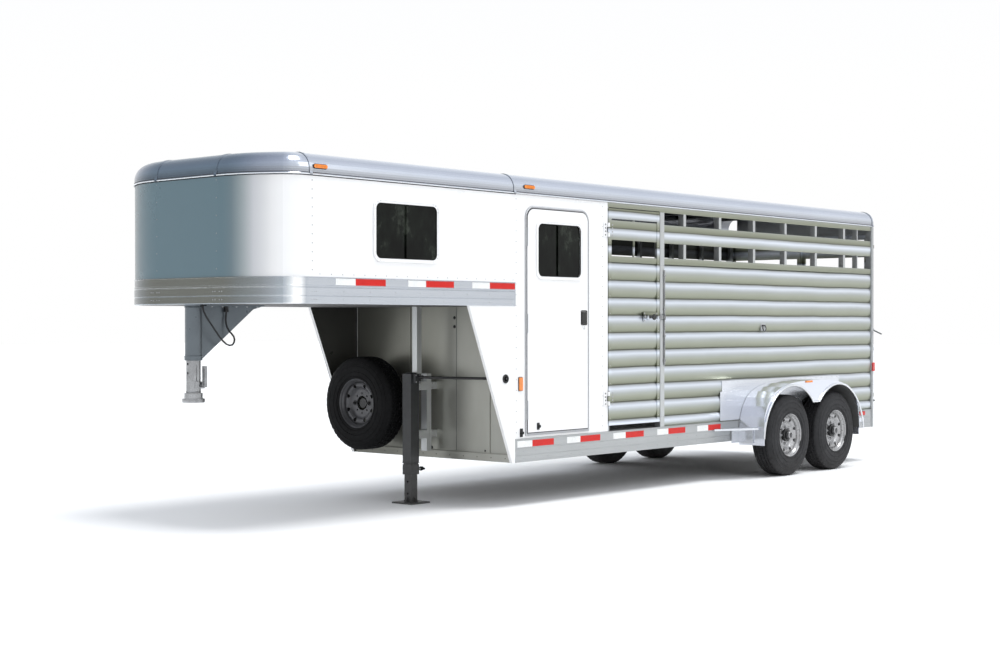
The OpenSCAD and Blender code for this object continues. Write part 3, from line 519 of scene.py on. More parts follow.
def wing_paint(nt, co, nr):
    # white outside; painted shade on the far wing's inner face, which stands in the shade under the nose, darker
    # higher up
    sep = nt.nodes.new("ShaderNodeSeparateXYZ")
    nt.links.new(co, sep.inputs[0])
    sn = nt.nodes.new("ShaderNodeSeparateXYZ")
    nt.links.new(nr, sn.inputs[0])
    far = mathn(nt, "MULTIPLY", mathn(nt, "LESS_THAN", sep.outputs[1], 0.0), mathn(nt, "GREATER_THAN", sn.outputs[1], 0.5))
    hi = nt.nodes.new("ShaderNodeMapRange")
    hi.inputs["From Min"].default_value = 0.5
    hi.inputs["From Max"].default_value = 1.6
    hi.inputs["To Min"].default_value = 0.0
    hi.inputs["To Max"].default_value = 1.0
    nt.links.new(sep.outputs[2], hi.inputs[0])
    shade = mixc(nt, hi.outputs[0], (0.06, 0.06, 0.052), (0.022, 0.022, 0.020))
    return mixc(nt, far, (0.80, 0.80, 0.80), shade)


M["bulkhead_aluminium"] = material("bulkhead_aluminium", (0.4, 0.4, 0.37), 0.55, 0.3, var=0.03, vscale=1.2, rvar=0.02, bump=0.02, bscale=20, paint=bulk_paint)
WING = material("wing_sheet", (0.8, 0.8, 0.8), 0.0, 0.32, coat=0.25, var=0.012, vscale=0.7, rvar=0.05, bump=0.04, bscale=6, bdist=0.002, paint=wing_paint)
# painted reflection on the polished fenders by how far the surface faces up
FENDER_PAINTED_REFLECTION = [(0.0, (0.10, 0.10, 0.10)), (0.3, (0.30, 0.31, 0.35)), (0.45, (0.58, 0.60, 0.65)), (0.5, (0.70, 0.72, 0.78)), (0.62, (0.72, 0.74, 0.80)), (0.8, (0.68, 0.70, 0.77)), (0.93, (0.86, 0.88, 0.92)), (1.0, (0.94, 0.95, 0.97))]
M["polished_fender"] = material("polished_fender", (0.7, 0.72, 0.76), 0.82, 0.16, var=0.025, vscale=0.8, rvar=0.03, streak=0.02, stretch=(0.5, 20, 20), bump=0.03, bscale=14, paint=by_normal_z(FENDER_PAINTED_REFLECTION))
M["bright_plate"] = material("bright_plate", (0.70, 0.72, 0.76), 0.75, 0.24, var=0.03, vscale=0.8, rvar=0.04, streak=0.03, stretch=(0.5, 20, 20), bump=0.04, bscale=20)
M["axle_paint"] = material("axle_paint", (0.03, 0.03, 0.032), 0.1, 0.5, var=0.2, bump=0.3, dirt=(DUST, 0.0, 0.6, 0.3))
M["tyre_rubber"] = material("tyre_rubber", (0.028, 0.028, 0.030), 0.0, 0.66, var=0.2, vscale=14, rvar=0.1, bump=0.3, bscale=420, bdist=0.0005, dirt=((0.07, 0.062, 0.055), 0.0, 0.25, 0.3), spec=0.3)
M["wheel_silver"] = material("wheel_silver", (0.42, 0.42, 0.425), 0.5, 0.30, coat=0.3, var=0.06, vscale=9, bump=0.12, bscale=500, dirt=(DUST, 0.1, 0.9, 0.18))
# the spare's grey rim, painted darker still as painted shade
M["spare_grey"] = material("spare_grey", (0.085, 0.085, 0.09), 0.3, 0.42, coat=0.2, var=0.12, vscale=9, bump=0.15, bscale=500)
M["black_steel"] = material("black_steel", (0.020, 0.020, 0.021), 0.1, 0.4, coat=0.2, var=0.2, vscale=12, bump=0.25, bscale=400)
M["jack_grey"] = material("jack_grey", (0.030, 0.032, 0.034), 0.2, 0.42, coat=0.1, var=0.14, vscale=8, bump=0.2, bscale=350, dirt=(DUST, 0.0, 1.0, 0.10))
M["leg_zinc"] = material("leg_zinc", (0.065, 0.067, 0.07), 0.4, 0.45, var=0.14, vscale=8, streak=0.12, stretch=(60, 60, 2), bump=0.2, bscale=90, dirt=(DUST, 0.0, 0.5, 0.15))
M["coupler_grey"] = material("coupler_grey", (0.125, 0.145, 0.16), 0.5, 0.34, coat=0.1, var=0.06, vscale=4, bump=0.1, bscale=350)
M["stem_zinc"] = material("stem_zinc", (0.40, 0.405, 0.41), 0.85, 0.26, var=0.2, vscale=10, streak=0.12, stretch=(60, 60, 3), bump=0.15, bscale=80)
M["cord_rubber"] = material("cord_rubber", (0.014, 0.014, 0.015), 0.0, 0.5, var=0.2, vscale=30, bump=0.3, bscale=600)
M["door_trim"] = material("door_trim", (0.38, 0.385, 0.40), 0.5, 0.34, coat=0.1, var=0.03, streak=0.03, stretch=(30, 30, 2), bump=0.05, bscale=60)
M["door_white"] = material("door_white", (0.80, 0.80, 0.80), 0.0, 0.3, coat=0.3, var=0.012, vscale=0.7, bump=0.04, bscale=8, bdist=0.002)
def glass_paint(nt, co, nr):
    # dark glass with a painted reflection, the faint broken mirror of trees
    n1 = noise(nt, co, 6.0, 6, 0.7, (1, 1, 0.6))
    rp = ramp(nt, [(0.42, (0.002, 0.0025, 0.002)), (0.56, (0.006, 0.008, 0.006)), (0.66, (0.032, 0.038, 0.030)), (0.8, (0.07, 0.08, 0.07))])
    nt.links.new(n1, rp.inputs[0])
    return rp.outputs[0]


M["tinted_glass"] = material("tinted_glass", (0.012, 0.014, 0.014), 0.0, 0.12, coat=0.04, var=0.1, vscale=2, rvar=0.02, bump=0.02, bscale=3, bdist=0.001, alpha=0.985, spec=0.14, paint=glass_paint)
M["black_plastic"] = material("black_plastic", (0.018, 0.018, 0.018), 0.0, 0.45, var=0.2, vscale=30, bump=0.35, bscale=700)
M["lamp_lens"] = material("lamp_lens", (0.80, 0.22, 0.02), 0.0, 0.2, coat=0.8, var=0.1, vscale=30, bump=0.3, bscale=120, bdist=0.001)
lamp_nt = M["lamp_lens"].node_tree


def lamp_paint(nt, co, nr):
    # red lamps at the back, amber ones elsewhere
    sep = nt.nodes.new("ShaderNodeSeparateXYZ")
    nt.links.new(co, sep.inputs[0])
    back = mathn(nt, "LESS_THAN", sep.outputs[0], -3.0)
    return mixc(nt, back, (0.88, 0.26, 0.03), (0.66, 0.02, 0.015))


M["lamp_lens"] = material("lamp_lens_two", (0.8, 0.22, 0.02), 0.0, 0.2, coat=0.8, var=0.1, vscale=30, bump=0.4, bscale=90, bdist=0.0015, paint=lamp_paint)
CHROME = material("chrome", (0.78, 0.79, 0.8), 1.0, 0.12, var=0.06, vscale=20, bump=0.05)
HUBCAP = material("hub_cap_dark", (0.07, 0.07, 0.072), 0.7, 0.2, coat=0.3, var=0.1, vscale=20, bump=0.05)
BOLT = material("bright_bolt", (0.55, 0.55, 0.56), 0.85, 0.32, var=0.15, vscale=40, bump=0.2)
RIVET = material("rivet_head", (0.38, 0.39, 0.41), 0.5, 0.34, var=0.06, vscale=40, bump=0.05)
RIVET_W = material("rivet_head_white", (0.24, 0.245, 0.25), 0.1, 0.38, var=0.06, vscale=40, bump=0.05)
RUBBER = material("gasket_rubber", (0.012, 0.012, 0.012), 0.0, 0.55, var=0.2, vscale=20, bump=0.3, bscale=500)
# black for the sealant under the cap, and painted shade standing in for the gap under the cap lip
GAP_SHADE_AND_SEALANT = material("gap_shade_and_sealant", (0.02, 0.02, 0.02), 0.0, 0.7, var=0.2, vscale=20, bump=0.2)
EDGE = material("bright_edge", (0.80, 0.82, 0.84), 0.75, 0.22, var=0.05, streak=0.05, stretch=(1, 30, 30), bump=0.05)


def tape(name, col):
    """Retro-reflective tape: fine cells and a slight sheen."""
    mt = bpy.data.materials.new(name)
    mt.use_nodes = True
    nt = mt.node_tree
    bs = nt.nodes["Principled BSDF"]
    tc = nt.nodes.new("ShaderNodeTexCoord")
    vo = nt.nodes.new("ShaderNodeTexVoronoi")
    vo.feature = "DISTANCE_TO_EDGE"
    vo.inputs["Scale"].default_value = 260
    nt.links.new(tc.outputs["Object"], vo.inputs["Vector"])
    rp = ramp(nt, [(0.0, tuple(x * 0.72 for x in col)), (0.12, col)])
    nt.links.new(vo.outputs[0], rp.inputs[0])
    n = noise(nt, tc.outputs["Object"], 14, 4)
    sh = ramp(nt, [(0.3, 0.9), (0.7, 1.0)])
    nt.links.new(n, sh.inputs[0])
    nt.links.new(mixc(nt, 1.0, rp.outputs[0], sh.outputs[0], "MULTIPLY"), bs.inputs["Base Color"])
    bs.inputs["Roughness"].default_value = 0.3
    bs.inputs["Coat Weight"].default_value = 0.1
    bs.inputs["Specular IOR Level"].default_value = 0.25
    bp = nt.nodes.new("ShaderNodeBump")
    bp.inputs["Strength"].default_value = 0.2
    bp.inputs["Distance"].default_value = 0.0003
    nt.links.new(vo.outputs[0], bp.inputs["Height"])
    nt.links.new(bp.outputs[0], bs.inputs["Normal"])
    return mt


T_RED = tape("tape_red", (0.62, 0.010, 0.006))
T_WHITE = tape("tape_white", (0.86, 0.87, 0.86))

# every CAD node takes the finish of its slot
slots = {s["node"]: s["material_slot"] for s in frame["record"]["subparts"]}
for name, ob in nodes.items():
    ob.data.materials.clear()
    ob.data.materials.append(M[slots[name]])
    ob["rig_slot"] = slots[name]
nodes["nose_skin"].data.materials[0] = NOSE_WHITE_PAINTED_SHADE
nodes["wing_panels"].data.materials[0] = WING


# ------------------------------------------------------------------ tyres
def tyre_mesh(name, origin, axis_y, body, node, flip=1):
    """A road tyre: rounded shoulders, stepped ribs, cross cuts and a lettering-free ringed sidewall."""
    R, w = 0.392, TYW
    prof = [(0.2065, 0.012), (0.2075, 0.006), (0.214, 0.0035), (0.221, 0.0035), (0.2225, 0.0065), (0.229, 0.006), (0.2300, 0.002), (0.238, 0.0005),
            (0.250, -0.0005 + 0.0008), (0.262, 0.0), (0.2640, 0.0028), (0.2665, 0.0028), (0.268, 0.0), (0.290, -0.0 + 0.0004), (0.312, 0.0018), (0.3135, 0.0046), (0.3160, 0.0046), (0.3175, 0.0026),
            (0.335, 0.0060), (0.345, 0.0085), (0.3465, 0.0118), (0.3485, 0.0118), (0.350, 0.0104), (0.362, 0.0160), (0.372, 0.0210), (0.380, 0.0270), (0.386, 0.0330), (0.3895, 0.0400)]
    tread = []
    grooves = [0.066, 0.0985, 0.1365, 0.169]
    x = 0.0435
    marks = [0.0435, 0.052, 0.060]
    for g in grooves:
        marks += [g - 0.0038, g - 0.0028, g + 0.0028, g + 0.0038]
        nxt = g + 0.016
        marks.append(nxt)
    marks += [0.1805, 0.1915]
    marks = sorted(set(round(q, 5) for q in marks if q < w - 0.0434))
    for q in marks:
        g = min(abs(q - k) for k in grooves)
        rr = R - 0.0008 - 0.004 * ((q - w / 2) / (w / 2)) ** 2
        tread.append((rr - (0.009 if g < 0.0031 else 0.0), q, g >= 0.0031))
    full = [(a0, b0, False) for a0, b0 in prof] + tread + [(a0, w - b0, False) for a0, b0 in reversed(prof)]
    full += [(0.2045, w - 0.02, False), (0.2045, 0.02, False)]
    n = 288
    k = len(full)
    ax = Vector((0, axis_y, 0)) if isinstance(axis_y, (int, float)) else Vector(axis_y)
    e1 = ax.orthogonal().normalized()
    e2 = ax.cross(e1)
    o = Vector(origin)
    v, f = [], []
    for i in range(n):
        t = 2 * math.pi * i / n
        d = e1 * math.cos(t) + e2 * math.sin(t)
        for (rr, q, tr) in full:
            if tr:
                zone = int((q / w) * 5)
                ph = (i + (3, 1, 5, 2, 4)[zone % 5]) % 6
                if ph in (0,):
                    rr -= 0.006
            elif rr > 0.372 and (i % 6) in (0, 1):
                rr -= 0.0035
            elif 0.232 < rr < 0.262 and i % 2:
                q = q + (0.0005 if q < w / 2 else -0.0005)
            v.append(o + ax * q + d * rr)
    for i in range(n):
        j = (i + 1) % n
        for q in range(k):
            q2 = (q + 1) % k
            f.append([i * k + q, i * k + q2, j * k + q2, j * k + q])
    ms = Mesh()
    ms.add(v, f)
    return ms.make(name, M["tyre_rubber"], body, "tyre_rubber", (node,), angle=32)


WHEELS = (("fl", AX1, 1), ("rl", AX2, 1), ("fr", AX1, -1), ("rr", AX2, -1))
for (nm, x, s) in WHEELS:
    tyre_mesh("tread_tyre_" + nm, (x, s * TY0, HZ), (0, s, 0), "wheel_" + nm, "tyre_" + nm)
# painted shade: a darker copy of the tyre rubber for the spare
SPARE_RUBBER_PAINTED_SHADE = material("spare_rubber_painted_shade", (0.007, 0.007, 0.0075), 0.0, 0.7, var=0.2, vscale=14, rvar=0.1, bump=0.3, bscale=420, bdist=0.0005, spec=0.15)
spare = tyre_mesh("tread_tyre_spare", (FX + 0.176, -0.490, 0.807), (1, 0, 0), "trailer", "spare_tyre")
spare.data.materials[0] = SPARE_RUBBER_PAINTED_SHADE

for (nm, x, s) in WHEELS:
    A = (0, s, 0)
    y = s * TY0
    hub = Mesh()
    # painted hub and its machined shoulder
    hub.lathe([(0.0605, TYW - 0.087), (0.0612, TYW - 0.08), (0.0612, TYW - 0.050), (0.0595, TYW - 0.0435), (0.050, TYW - 0.0425), (0.0435, TYW - 0.0425)], (x, y, HZ), A, 48)
    hub.make("hub_paint_" + nm, M["black_steel"], "wheel_" + nm)
    cap = Mesh()
    cap.lathe([(0.0425, TYW - 0.043), (0.0432, TYW - 0.038), (0.0432, TYW - 0.030), (0.0424, TYW - 0.024), (0.0410, TYW - 0.0195), (0.0385, TYW - 0.0135), (0.033, TYW - 0.0065), (0.024, TYW - 0.0022), (0.012, TYW - 0.0004), (0.0005, TYW)], (x, y, HZ), A, 48)
    cap.lathe([(0.0445, TYW - 0.034), (0.0448, TYW - 0.031), (0.0445, TYW - 0.028)], (x, y, HZ), A, 48)
    cap.make("hub_cap_" + nm, HUBCAP, "wheel_" + nm)
    nuts = Mesh()
    for k in range(8):
        # the CAD rim's first nut lies along +X of the wheel
        t = math.radians(k * 45)
        q = Vector((x + 0.08255 * math.cos(t), y, HZ + 0.08255 * math.sin(t)))
        nuts.lathe([(0.0170, TYW - 0.0785), (0.0170, TYW - 0.0765), (0.0142, TYW - 0.074)], q, A, 18)
        nuts.lathe([(0.0134, TYW - 0.0765), (0.0134, TYW - 0.0635), (0.0118, TYW - 0.0612), (0.0078, TYW - 0.0612)], q, A, 6, math.radians(15))
        nuts.lathe([(0.0074, TYW - 0.062), (0.0074, TYW - 0.0545), (0.0062, TYW - 0.0534), (0.0004, TYW - 0.0534)], q, A, 14)
    nuts.make("wheel_nuts_" + nm, BOLT, "wheel_" + nm)
    vs = Mesh()
    t = math.radians(22.5)
    q0 = Vector((x + 0.170 * math.cos(t), y + s * (TYW - 0.062), HZ + 0.170 * math.sin(t)))
    q1 = q0 + Vector((-0.006 * math.cos(t), s * 0.034, -0.006 * math.sin(t)))
    vs.tube([q0, q0.lerp(q1, 0.5), q1], 0.0042, 10)
    vs.lathe([(0.0052, 0), (0.0052, 0.008), (0.004, 0.0095), (0.0005, 0.0095)], q1, A, 12)
    # balance weight on the flange
    for dt in range(5):
        tt = math.radians(200 + dt * 3)
        vs.box((x + 0.203 * math.cos(tt) - 0.006, min(y + s * (TYW - 0.014), y + s * (TYW - 0.008)), HZ + 0.203 * math.sin(tt) - 0.006),
               (x + 0.203 * math.cos(tt) + 0.006, max(y + s * (TYW - 0.014), y + s * (TYW - 0.008)), HZ + 0.203 * math.sin(tt) + 0.006), 0.002)
    vs.make("valve_stem_" + nm, RUBBER, "wheel_" + nm)

sp = Mesh()
for k in (0, 1):
    c = Vector((FX + 0.176 + TYW - 0.064, -0.490, 0.807)) + Vector((0, 0.08255 * (1 if k == 0 else -1), 0))
    sp.lathe([(0.022, -0.014), (0.022, -0.0115), (0.018, -0.010)], c, (1, 0, 0), 24)
    sp.lathe([(0.0142, -0.012), (0.0142, 0.0005), (0.012, 0.0025), (0.008, 0.0025)], c, (1, 0, 0), 6)
    sp.lathe([(0.0078, 0.0), (0.0078, 0.012), (0.0065, 0.0135), (0.0003, 0.0135)], c, (1, 0, 0), 16)
sp.make("spare_nuts", M["black_steel"], "trailer")

# ------------------------------------------------------------------ rivets on the skins, cap and band
rv_w, rv_m = Mesh(), Mesh()


def column(s, z0, z1, step, out, target, pair=0.0, rr=0.0045):
    """Rivets up the wall at plan distance s round the nose, on both sides where s is before the corner."""
    z = z0
    while z <= z1 + 1e-6:
        for d in ((-pair, pair) if pair else (0,)):
            q, n = plan_point(s + d, out)
            q = Vector((q.x, q.y, z))
            target.rivet(q, n, rr)
            if s < 0:
                target.rivet(mirror_y(q), mirror_y(n), rr)
        z += step


for s in (-0.034,):
    column(s, 1.85, 2.49, 0.0625, 0.0, rv_w)
C1 = R1 * (math.pi / 2 - TH)
C2 = C1 + R2 * TH
for s in (C2 + 0.012, NOSE_LEN - C2 - 0.012):
    column(s, 1.86, 2.49, 0.125, 0.0, rv_w)
# skin edges: a row above the band, and columns up the ends of the skin
x = 1.80
while x < 3.95:
    for sd in (1, -1):
        rv_w.rivet((x, sd * HW, 1.822), (0, sd, 0), 0.004, 0.0016)
    x += 0.11
for zz in np.arange(0.60, 2.48, 0.085):
    for xx in (FX - 0.012, 0.620):
        for sd in (1, -1):
            rv_w.rivet((xx, sd * HW, float(zz)), (0, sd, 0), 0.0042, 0.0018)
rv_w.make("skin_rivets", RIVET_W, "trailer", "white_skin")

# band rivets: groups of four at the joints, pairs between them
for s in np.arange(0.05, NOSE_LEN - 0.02, 0.05):
    pass
for s in (-0.03, -0.055, C2 - 0.05, C2 - 0.025, C2 + 0.02, C2 + 0.045, NOSE_LEN - C2 - 0.02, NOSE_LEN - C2 - 0.045, NOSE_LEN - C2 + 0.05, NOSE_LEN - C2 + 0.025):
    for z in (BAND + 0.030, BAND + 0.088):
        q, n = plan_point(float(s), 0.006 if z < BAND + 0.12 else 0.003)
        q = Vector((q.x, q.y, z))
        rv_m.rivet(q, n, 0.0042)
        if s < 0:
            rv_m.rivet(mirror_y(q), mirror_y(n), 0.0042)
x = 1.83
while x < 3.93:
    for sd in (1, -1):
        for z in (BAND + 0.030, BAND + 0.088):
            rv_m.rivet((x, sd * (HW + 0.006), z), (0, sd, 0), 0.0042)
    x += 0.262
# side rail
x = -4.06
while x < 1.75:
    for sd in (1, -1):
        for z in (RAIL + 0.034, RAIL + 0.084):
            if not (sd > 0 and -3.45 < x < -1.40) and not (sd < 0 and -3.45 < x < -1.40):
                rv_m.rivet((x, sd * (HW + 0.003), z), (0, sd, 0), 0.0042)
    x += 0.155
# rear corner strip, gate posts
for z in np.arange(0.46, 2.45, 0.118):
    for sd in (1, -1):
        rv_m.rivet((RX + 0.020, sd * (HW + 0.008), float(z)), (0, sd, 0), 0.004)
for z in np.arange(0.64, 2.44, 0.15):
    rv_m.rivet((-0.277, HW + 0.003, float(z)), (0, 1, 0), 0.004)
    rv_m.rivet((-0.240, HW + 0.003, float(z)), (0, 1, 0), 0.004)
# splash plate
for x in np.arange(-3.40, -1.24, 0.105):
    for sd in (1, -1):
        rv_m.rivet((float(x), sd * (HW + 0.004), 0.920), (0, sd, 0), 0.004)
# roof cap joints
for x in (1.776 + 0.007, RX + 0.013, NSX - 0.017):
    for t in (8, 24, 44, 66, 86):
        t = math.radians(t)
        for sd in (1, -1):
            cz = WT + 0.038
            q = Vector((x, HW + 0.004 - 0.125 + 0.129 * math.cos(t), cz + 0.129 * math.sin(t)))
            n = Vector((0, math.cos(t), math.sin(t)))
            if sd < 0:
                q, n = mirror_y(q), mirror_y(n)
            rv_m.rivet(q, n, 0.004, 0.002)
rv_m.make("frame_rivets", RIVET, "trailer", "rail_aluminium")

# ------------------------------------------------------------------ roof cap: bright lip over the gap, drawn as a dark strip of painted shade
lip, gap = Mesh(), Mesh()
ss = [-8.186 + 0.0, -6.0, -4.0, -2.23, -0.02] + list(np.linspace(0, NOSE_LEN / 2, 60))
for sd in (1, -1):
    pts = [plan_point(float(s), 0.0082) for s in ss]
    gp = [plan_point(float(s), 0.0042) for s in ss]
    P = [Vector((q.x, q.y * sd, WT + 0.0058)) for q, n in pts]
    lip.tube(P, 0.0040, 10)
    gap.strip([Vector((q.x, q.y * sd, 0)) for q, n in gp], [Vector((n.x, n.y * sd, 0)) for q, n in gp], WT + 0.0135, WT + 0.0195, 0.0016)
lip.make("cap_lip", EDGE, "trailer", "polished_cap")
gap.make("cap_gap", GAP_SHADE_AND_SEALANT, "trailer")
sl = Mesh()
for sd in (1, -1):
    gp = [plan_point(float(s), 0.0) for s in ss]
    sl.strip([Vector((q.x, q.y * sd, 0)) for q, n in gp if q.x > 0.547], [Vector((n.x, n.y * sd, 0)) for q, n in gp if q.x > 0.547], WT - 0.0048, WT - 0.0002, 0.0022)
sl.make("cap_sealant", GAP_SHADE_AND_SEALANT, "trailer")

# ------------------------------------------------------------------ reflective tape
tr, tw = Mesh(), Mesh()
upper = [(tw, 3.741, 3.547), (tr, 3.547, 3.241), (tw, 3.005, 2.814), (tr, 2.814, 2.503), (tw, 2.292, 2.086), (tr, 2.086, 1.780)]
lower = [(tw, 1.753, 1.565), (tr, 1.565, 1.288), (tw, 1.112, .934), (tr, .934, .658), (tw, .473, .295), (tr, .295, .026), (tw, -.179, -.350), (tr, -.350, -.619), (tw, -.814, -.993), (tr, -.993, -1.205)]
for (k, a0, b0) in upper:
    for sd in (1, -1):
        k.strip([Vector((a0, sd * (HW + 0.0028), 0)), Vector((b0, sd * (HW + 0.0028), 0))], [Vector((0, sd, 0))] * 2, BAND + 0.1335, BAND + 0.1815, 0.0014, 0.0004)
for (k, a0, b0) in lower:
    for sd in (1, -1):
        k.strip([Vector((a0, sd * (HW + 0.0028), 0)), Vector((b0, sd * (HW + 0.0028), 0))], [Vector((0, sd, 0))] * 2, RAIL + 0.120, RAIL + 0.172, 0.0014, 0.0004)
tr.make("tape_red_pieces", T_RED, "trailer")
tw.make("tape_white_pieces", T_WHITE, "trailer")


# ------------------------------------------------------------------ windows and doors
def rr_path(x0, z0, x1, z1, rad, y, n=10):
    out = []
    for (cx, cz, a0) in ((x1 - rad, z1 - rad, 0), (x0 + rad, z1 - rad, 90), (x0 + rad, z0 + rad, 180), (x1 - rad, z0 + rad, 270)):
        for i in range(n + 1):
            t = math.radians(a0 + 90 * i / n)
            out.append(Vector((cx + rad * math.cos(t), y, cz + rad * math.sin(t))))
    return out


ga = Mesh()
for sd in (1, -1):
    ga.tube([mirror_y(q) if sd < 0 else q for q in rr_path(2.669 + 0.026, 1.923 + 0.026, 3.368 - 0.026, 2.381 - 0.026, 0.046, HW + 0.0035)], 0.0042, 8, True)
ga.make("nose_window_seal", RUBBER, "trailer")
wt = Mesh()
for sd in (1, -1):
    pth = rr_path(2.669 + 0.006, 1.923 + 0.006, 3.368 - 0.006, 2.381 - 0.006, 0.062, HW + 0.0068)
    wt.tube([mirror_y(q) if sd < 0 else q for q in pth], 0.0055, 10, True)
wt.make("nose_window_trim", M["door_white"], "trailer", "door_white")
wsc = Mesh()
for sd in (1, -1):
    for q in rr_path(2.669 + 0.0145, 1.923 + 0.0145, 3.368 - 0.0145, 2.381 - 0.0145, 0.056, HW + 0.008, 3):
        wsc.rivet(mirror_y(q) if sd < 0 else q, (0, sd, 0), 0.0035, 0.0014)
wsc.make("nose_window_screws", RIVET, "trailer")

dw = Mesh()
dw.tube(rr_path(0.944, 1.857, 1.503, 2.286, 0.050, HW + 0.0165), 0.0040, 8, True)
dw.make("door_window_seal", RUBBER, "dressing_door")
dt = Mesh()
dt.tube(rr_path(0.944 - 0.021, 1.857 - 0.021, 1.503 + 0.021, 2.286 + 0.021, 0.062, HW + 0.0185), 0.0056, 10, True)
# pressed panel lines of the slab
dt.make("door_window_trim", M["door_white"], "dressing_door", "door_white")


def arch_path(x0, z0, x1, z1, rad, y, n=12):
    out = [Vector((x0, y, z0)), Vector((x0, y, (z0 + z1) / 2))]
    for (cx, a0, a1) in ((x0 + rad, 180, 90), (x1 - rad, 90, 0)):
        for i in range(n + 1):
            t = math.radians(a0 + (a1 - a0) * i / n)
            out.append(Vector((cx + rad * math.cos(t), y, z1 - rad + rad * math.sin(t))))
    out += [Vector((x1, y, (z0 + z1) / 2)), Vector((x1, y, z0))]
    return out


dg = Mesh()
dg.tube(arch_path(0.818 + 0.0225, 0.568 + 0.0225, 1.652 - 0.017, 2.424 - 0.020, 0.081, HW + 0.0085), 0.0038, 8)
dg.tube([(0.8405, HW + 0.0085, 0.5905), (1.2, HW + 0.0085, 0.5905), (1.635, HW + 0.0085, 0.5905)], 0.0034, 8)
dg.make("door_gasket", RUBBER, "trailer")
de = Mesh()
de.tube(arch_path(0.818 + 0.003, 0.568 + 0.003, 1.652 - 0.003, 2.424 - 0.003, 0.098, HW + 0.0075), 0.0030, 8)
de.make("door_frame_edge", EDGE, "trailer", "door_trim")
# latch surround and key cylinder
lt = Mesh()
lt.tube(rr_path(0.858, 1.463, 0.936, 1.581, 0.010, HW + 0.0145, 6), 0.0036, 8, True)
lt.make("door_latch_surround", M["black_plastic"], "dressing_door", "black_plastic")
kc = Mesh()
kc.lathe([(0.0125, -0.001), (0.0128, 0.003), (0.0112, 0.0048), (0.0095, 0.0048), (0.0090, 0.0036), (0.0002, 0.0034)], (0.897, HW + 0.014, 1.435), (0, 1, 0), 28)
kc.box((0.8962, HW + 0.0172, 1.4302), (0.8978, HW + 0.0180, 1.4398), 0.0002)
kc.make("door_key_cylinder", CHROME, "dressing_door")
# rubber bumpers at the foot of the door and on the wall beside it
bmpr = Mesh()
for (bx0, bz0) in ((1.503, 0.609), (1.700, 0.596)):
    bmpr.lathe([(0.015, -0.0004), (0.016, 0.006), (0.0145, 0.016), (0.011, 0.022), (0.0003, 0.0225)], (bx0, HW + (0.014 if bx0 < 1.6 else 0.0), bz0), (0, 1, 0), 24)
bm1 = Mesh()
bm1.lathe([(0.015, -0.0004), (0.016, 0.006), (0.0145, 0.016), (0.011, 0.022), (0.0003, 0.0225)], (1.700, HW, 0.596), (0, 1, 0), 24)
bm1.box((1.682, HW - 0.0002, 0.562), (1.718, HW + 0.004, 0.630), 0.0012)
bm1.make("wall_bumper", RUBBER, "trailer")
bm2 = Mesh()
bm2.lathe([(0.015, -0.0004), (0.016, 0.006), (0.0145, 0.016), (0.011, 0.022), (0.0003, 0.0225)], (1.503, HW + 0.014, 0.640), (0, 1, 0), 24)
bm2.box((1.487, HW + 0.0138, 0.612), (1.519, HW + 0.018, 0.668), 0.0012)
bm2.make("door_bumper", RUBBER, "dressing_door")

# ------------------------------------------------------------------ side gate
sg = Mesh()
for z in (0.830, 2.276):
    for dz in (-0.045, -0.015, 0.015, 0.045):
        sg.screw((0.488, HW + 0.007, z + dz), (0, 1, 0), 0.0052, 0.0045)
for xx in (-0.168, 0.018):
    for zz in (1.500, 1.562):
        sg.screw((xx, HW + 0.006, zz), (0, 1, 0), 0.0050, 0.0040)
for zz in np.arange(0.66, 2.40, 0.15):
    sg.rivet((-0.200, HW + 0.002, float(zz)), (0, 1, 0), 0.004)
    sg.rivet((0.516, HW + 0.002, float(zz)), (0, 1, 0), 0.004)
sg.make("side_gate_screws", BOLT, "side_gate")
sg2 = Mesh()
for z in (0.830, 2.276):
    for dz in (-0.045, -0.015, 0.015, 0.045):
        sg2.screw((0.585, HW + 0.006, z + dz), (0, 1, 0), 0.0052, 0.0045)
    sg2.lathe([(0.0068, -0.066), (0.0072, -0.064), (0.0072, 0.064), (0.0068, 0.066)], (0.552, HW + 0.014, z), (0, 0, 1), 16)
# striker of the gate bar on the main post
sg2.tube([(-0.262, HW + 0.002, 1.507), (-0.262, HW + 0.030, 1.507), (-0.262, HW + 0.034, 1.512), (-0.262, HW + 0.034, 1.550), (-0.262, HW + 0.030, 1.555), (-0.262, HW + 0.002, 1.555)], 0.0042, 8)
# tall pin on the main post
sg2.tube([(-0.284, HW + 0.010, 1.10), (-0.284, HW + 0.010, 1.95)], 0.0060, 12)
for z in (1.14, 1.36, 1.60, 1.90):
    sg2.box((-0.2935, HW + 0.0028, z - 0.012), (-0.2745, HW + 0.0175, z + 0.012), 0.0025)
sg2.make("side_gate_fixings", M["stem_zinc"], "trailer", "stem_zinc")
kn = Mesh()
kn.lathe([(0.0262, 0.0), (0.0275, 0.002), (0.0275, 0.007), (0.0245, 0.0092), (0.012, 0.0098), (0.0003, 0.0098)], (-0.075, HW + 0.0412, 1.531), (0, 1, 0), 32)
kn.make("side_gate_knob", M["black_plastic"], "side_gate_bar", "black_plastic")

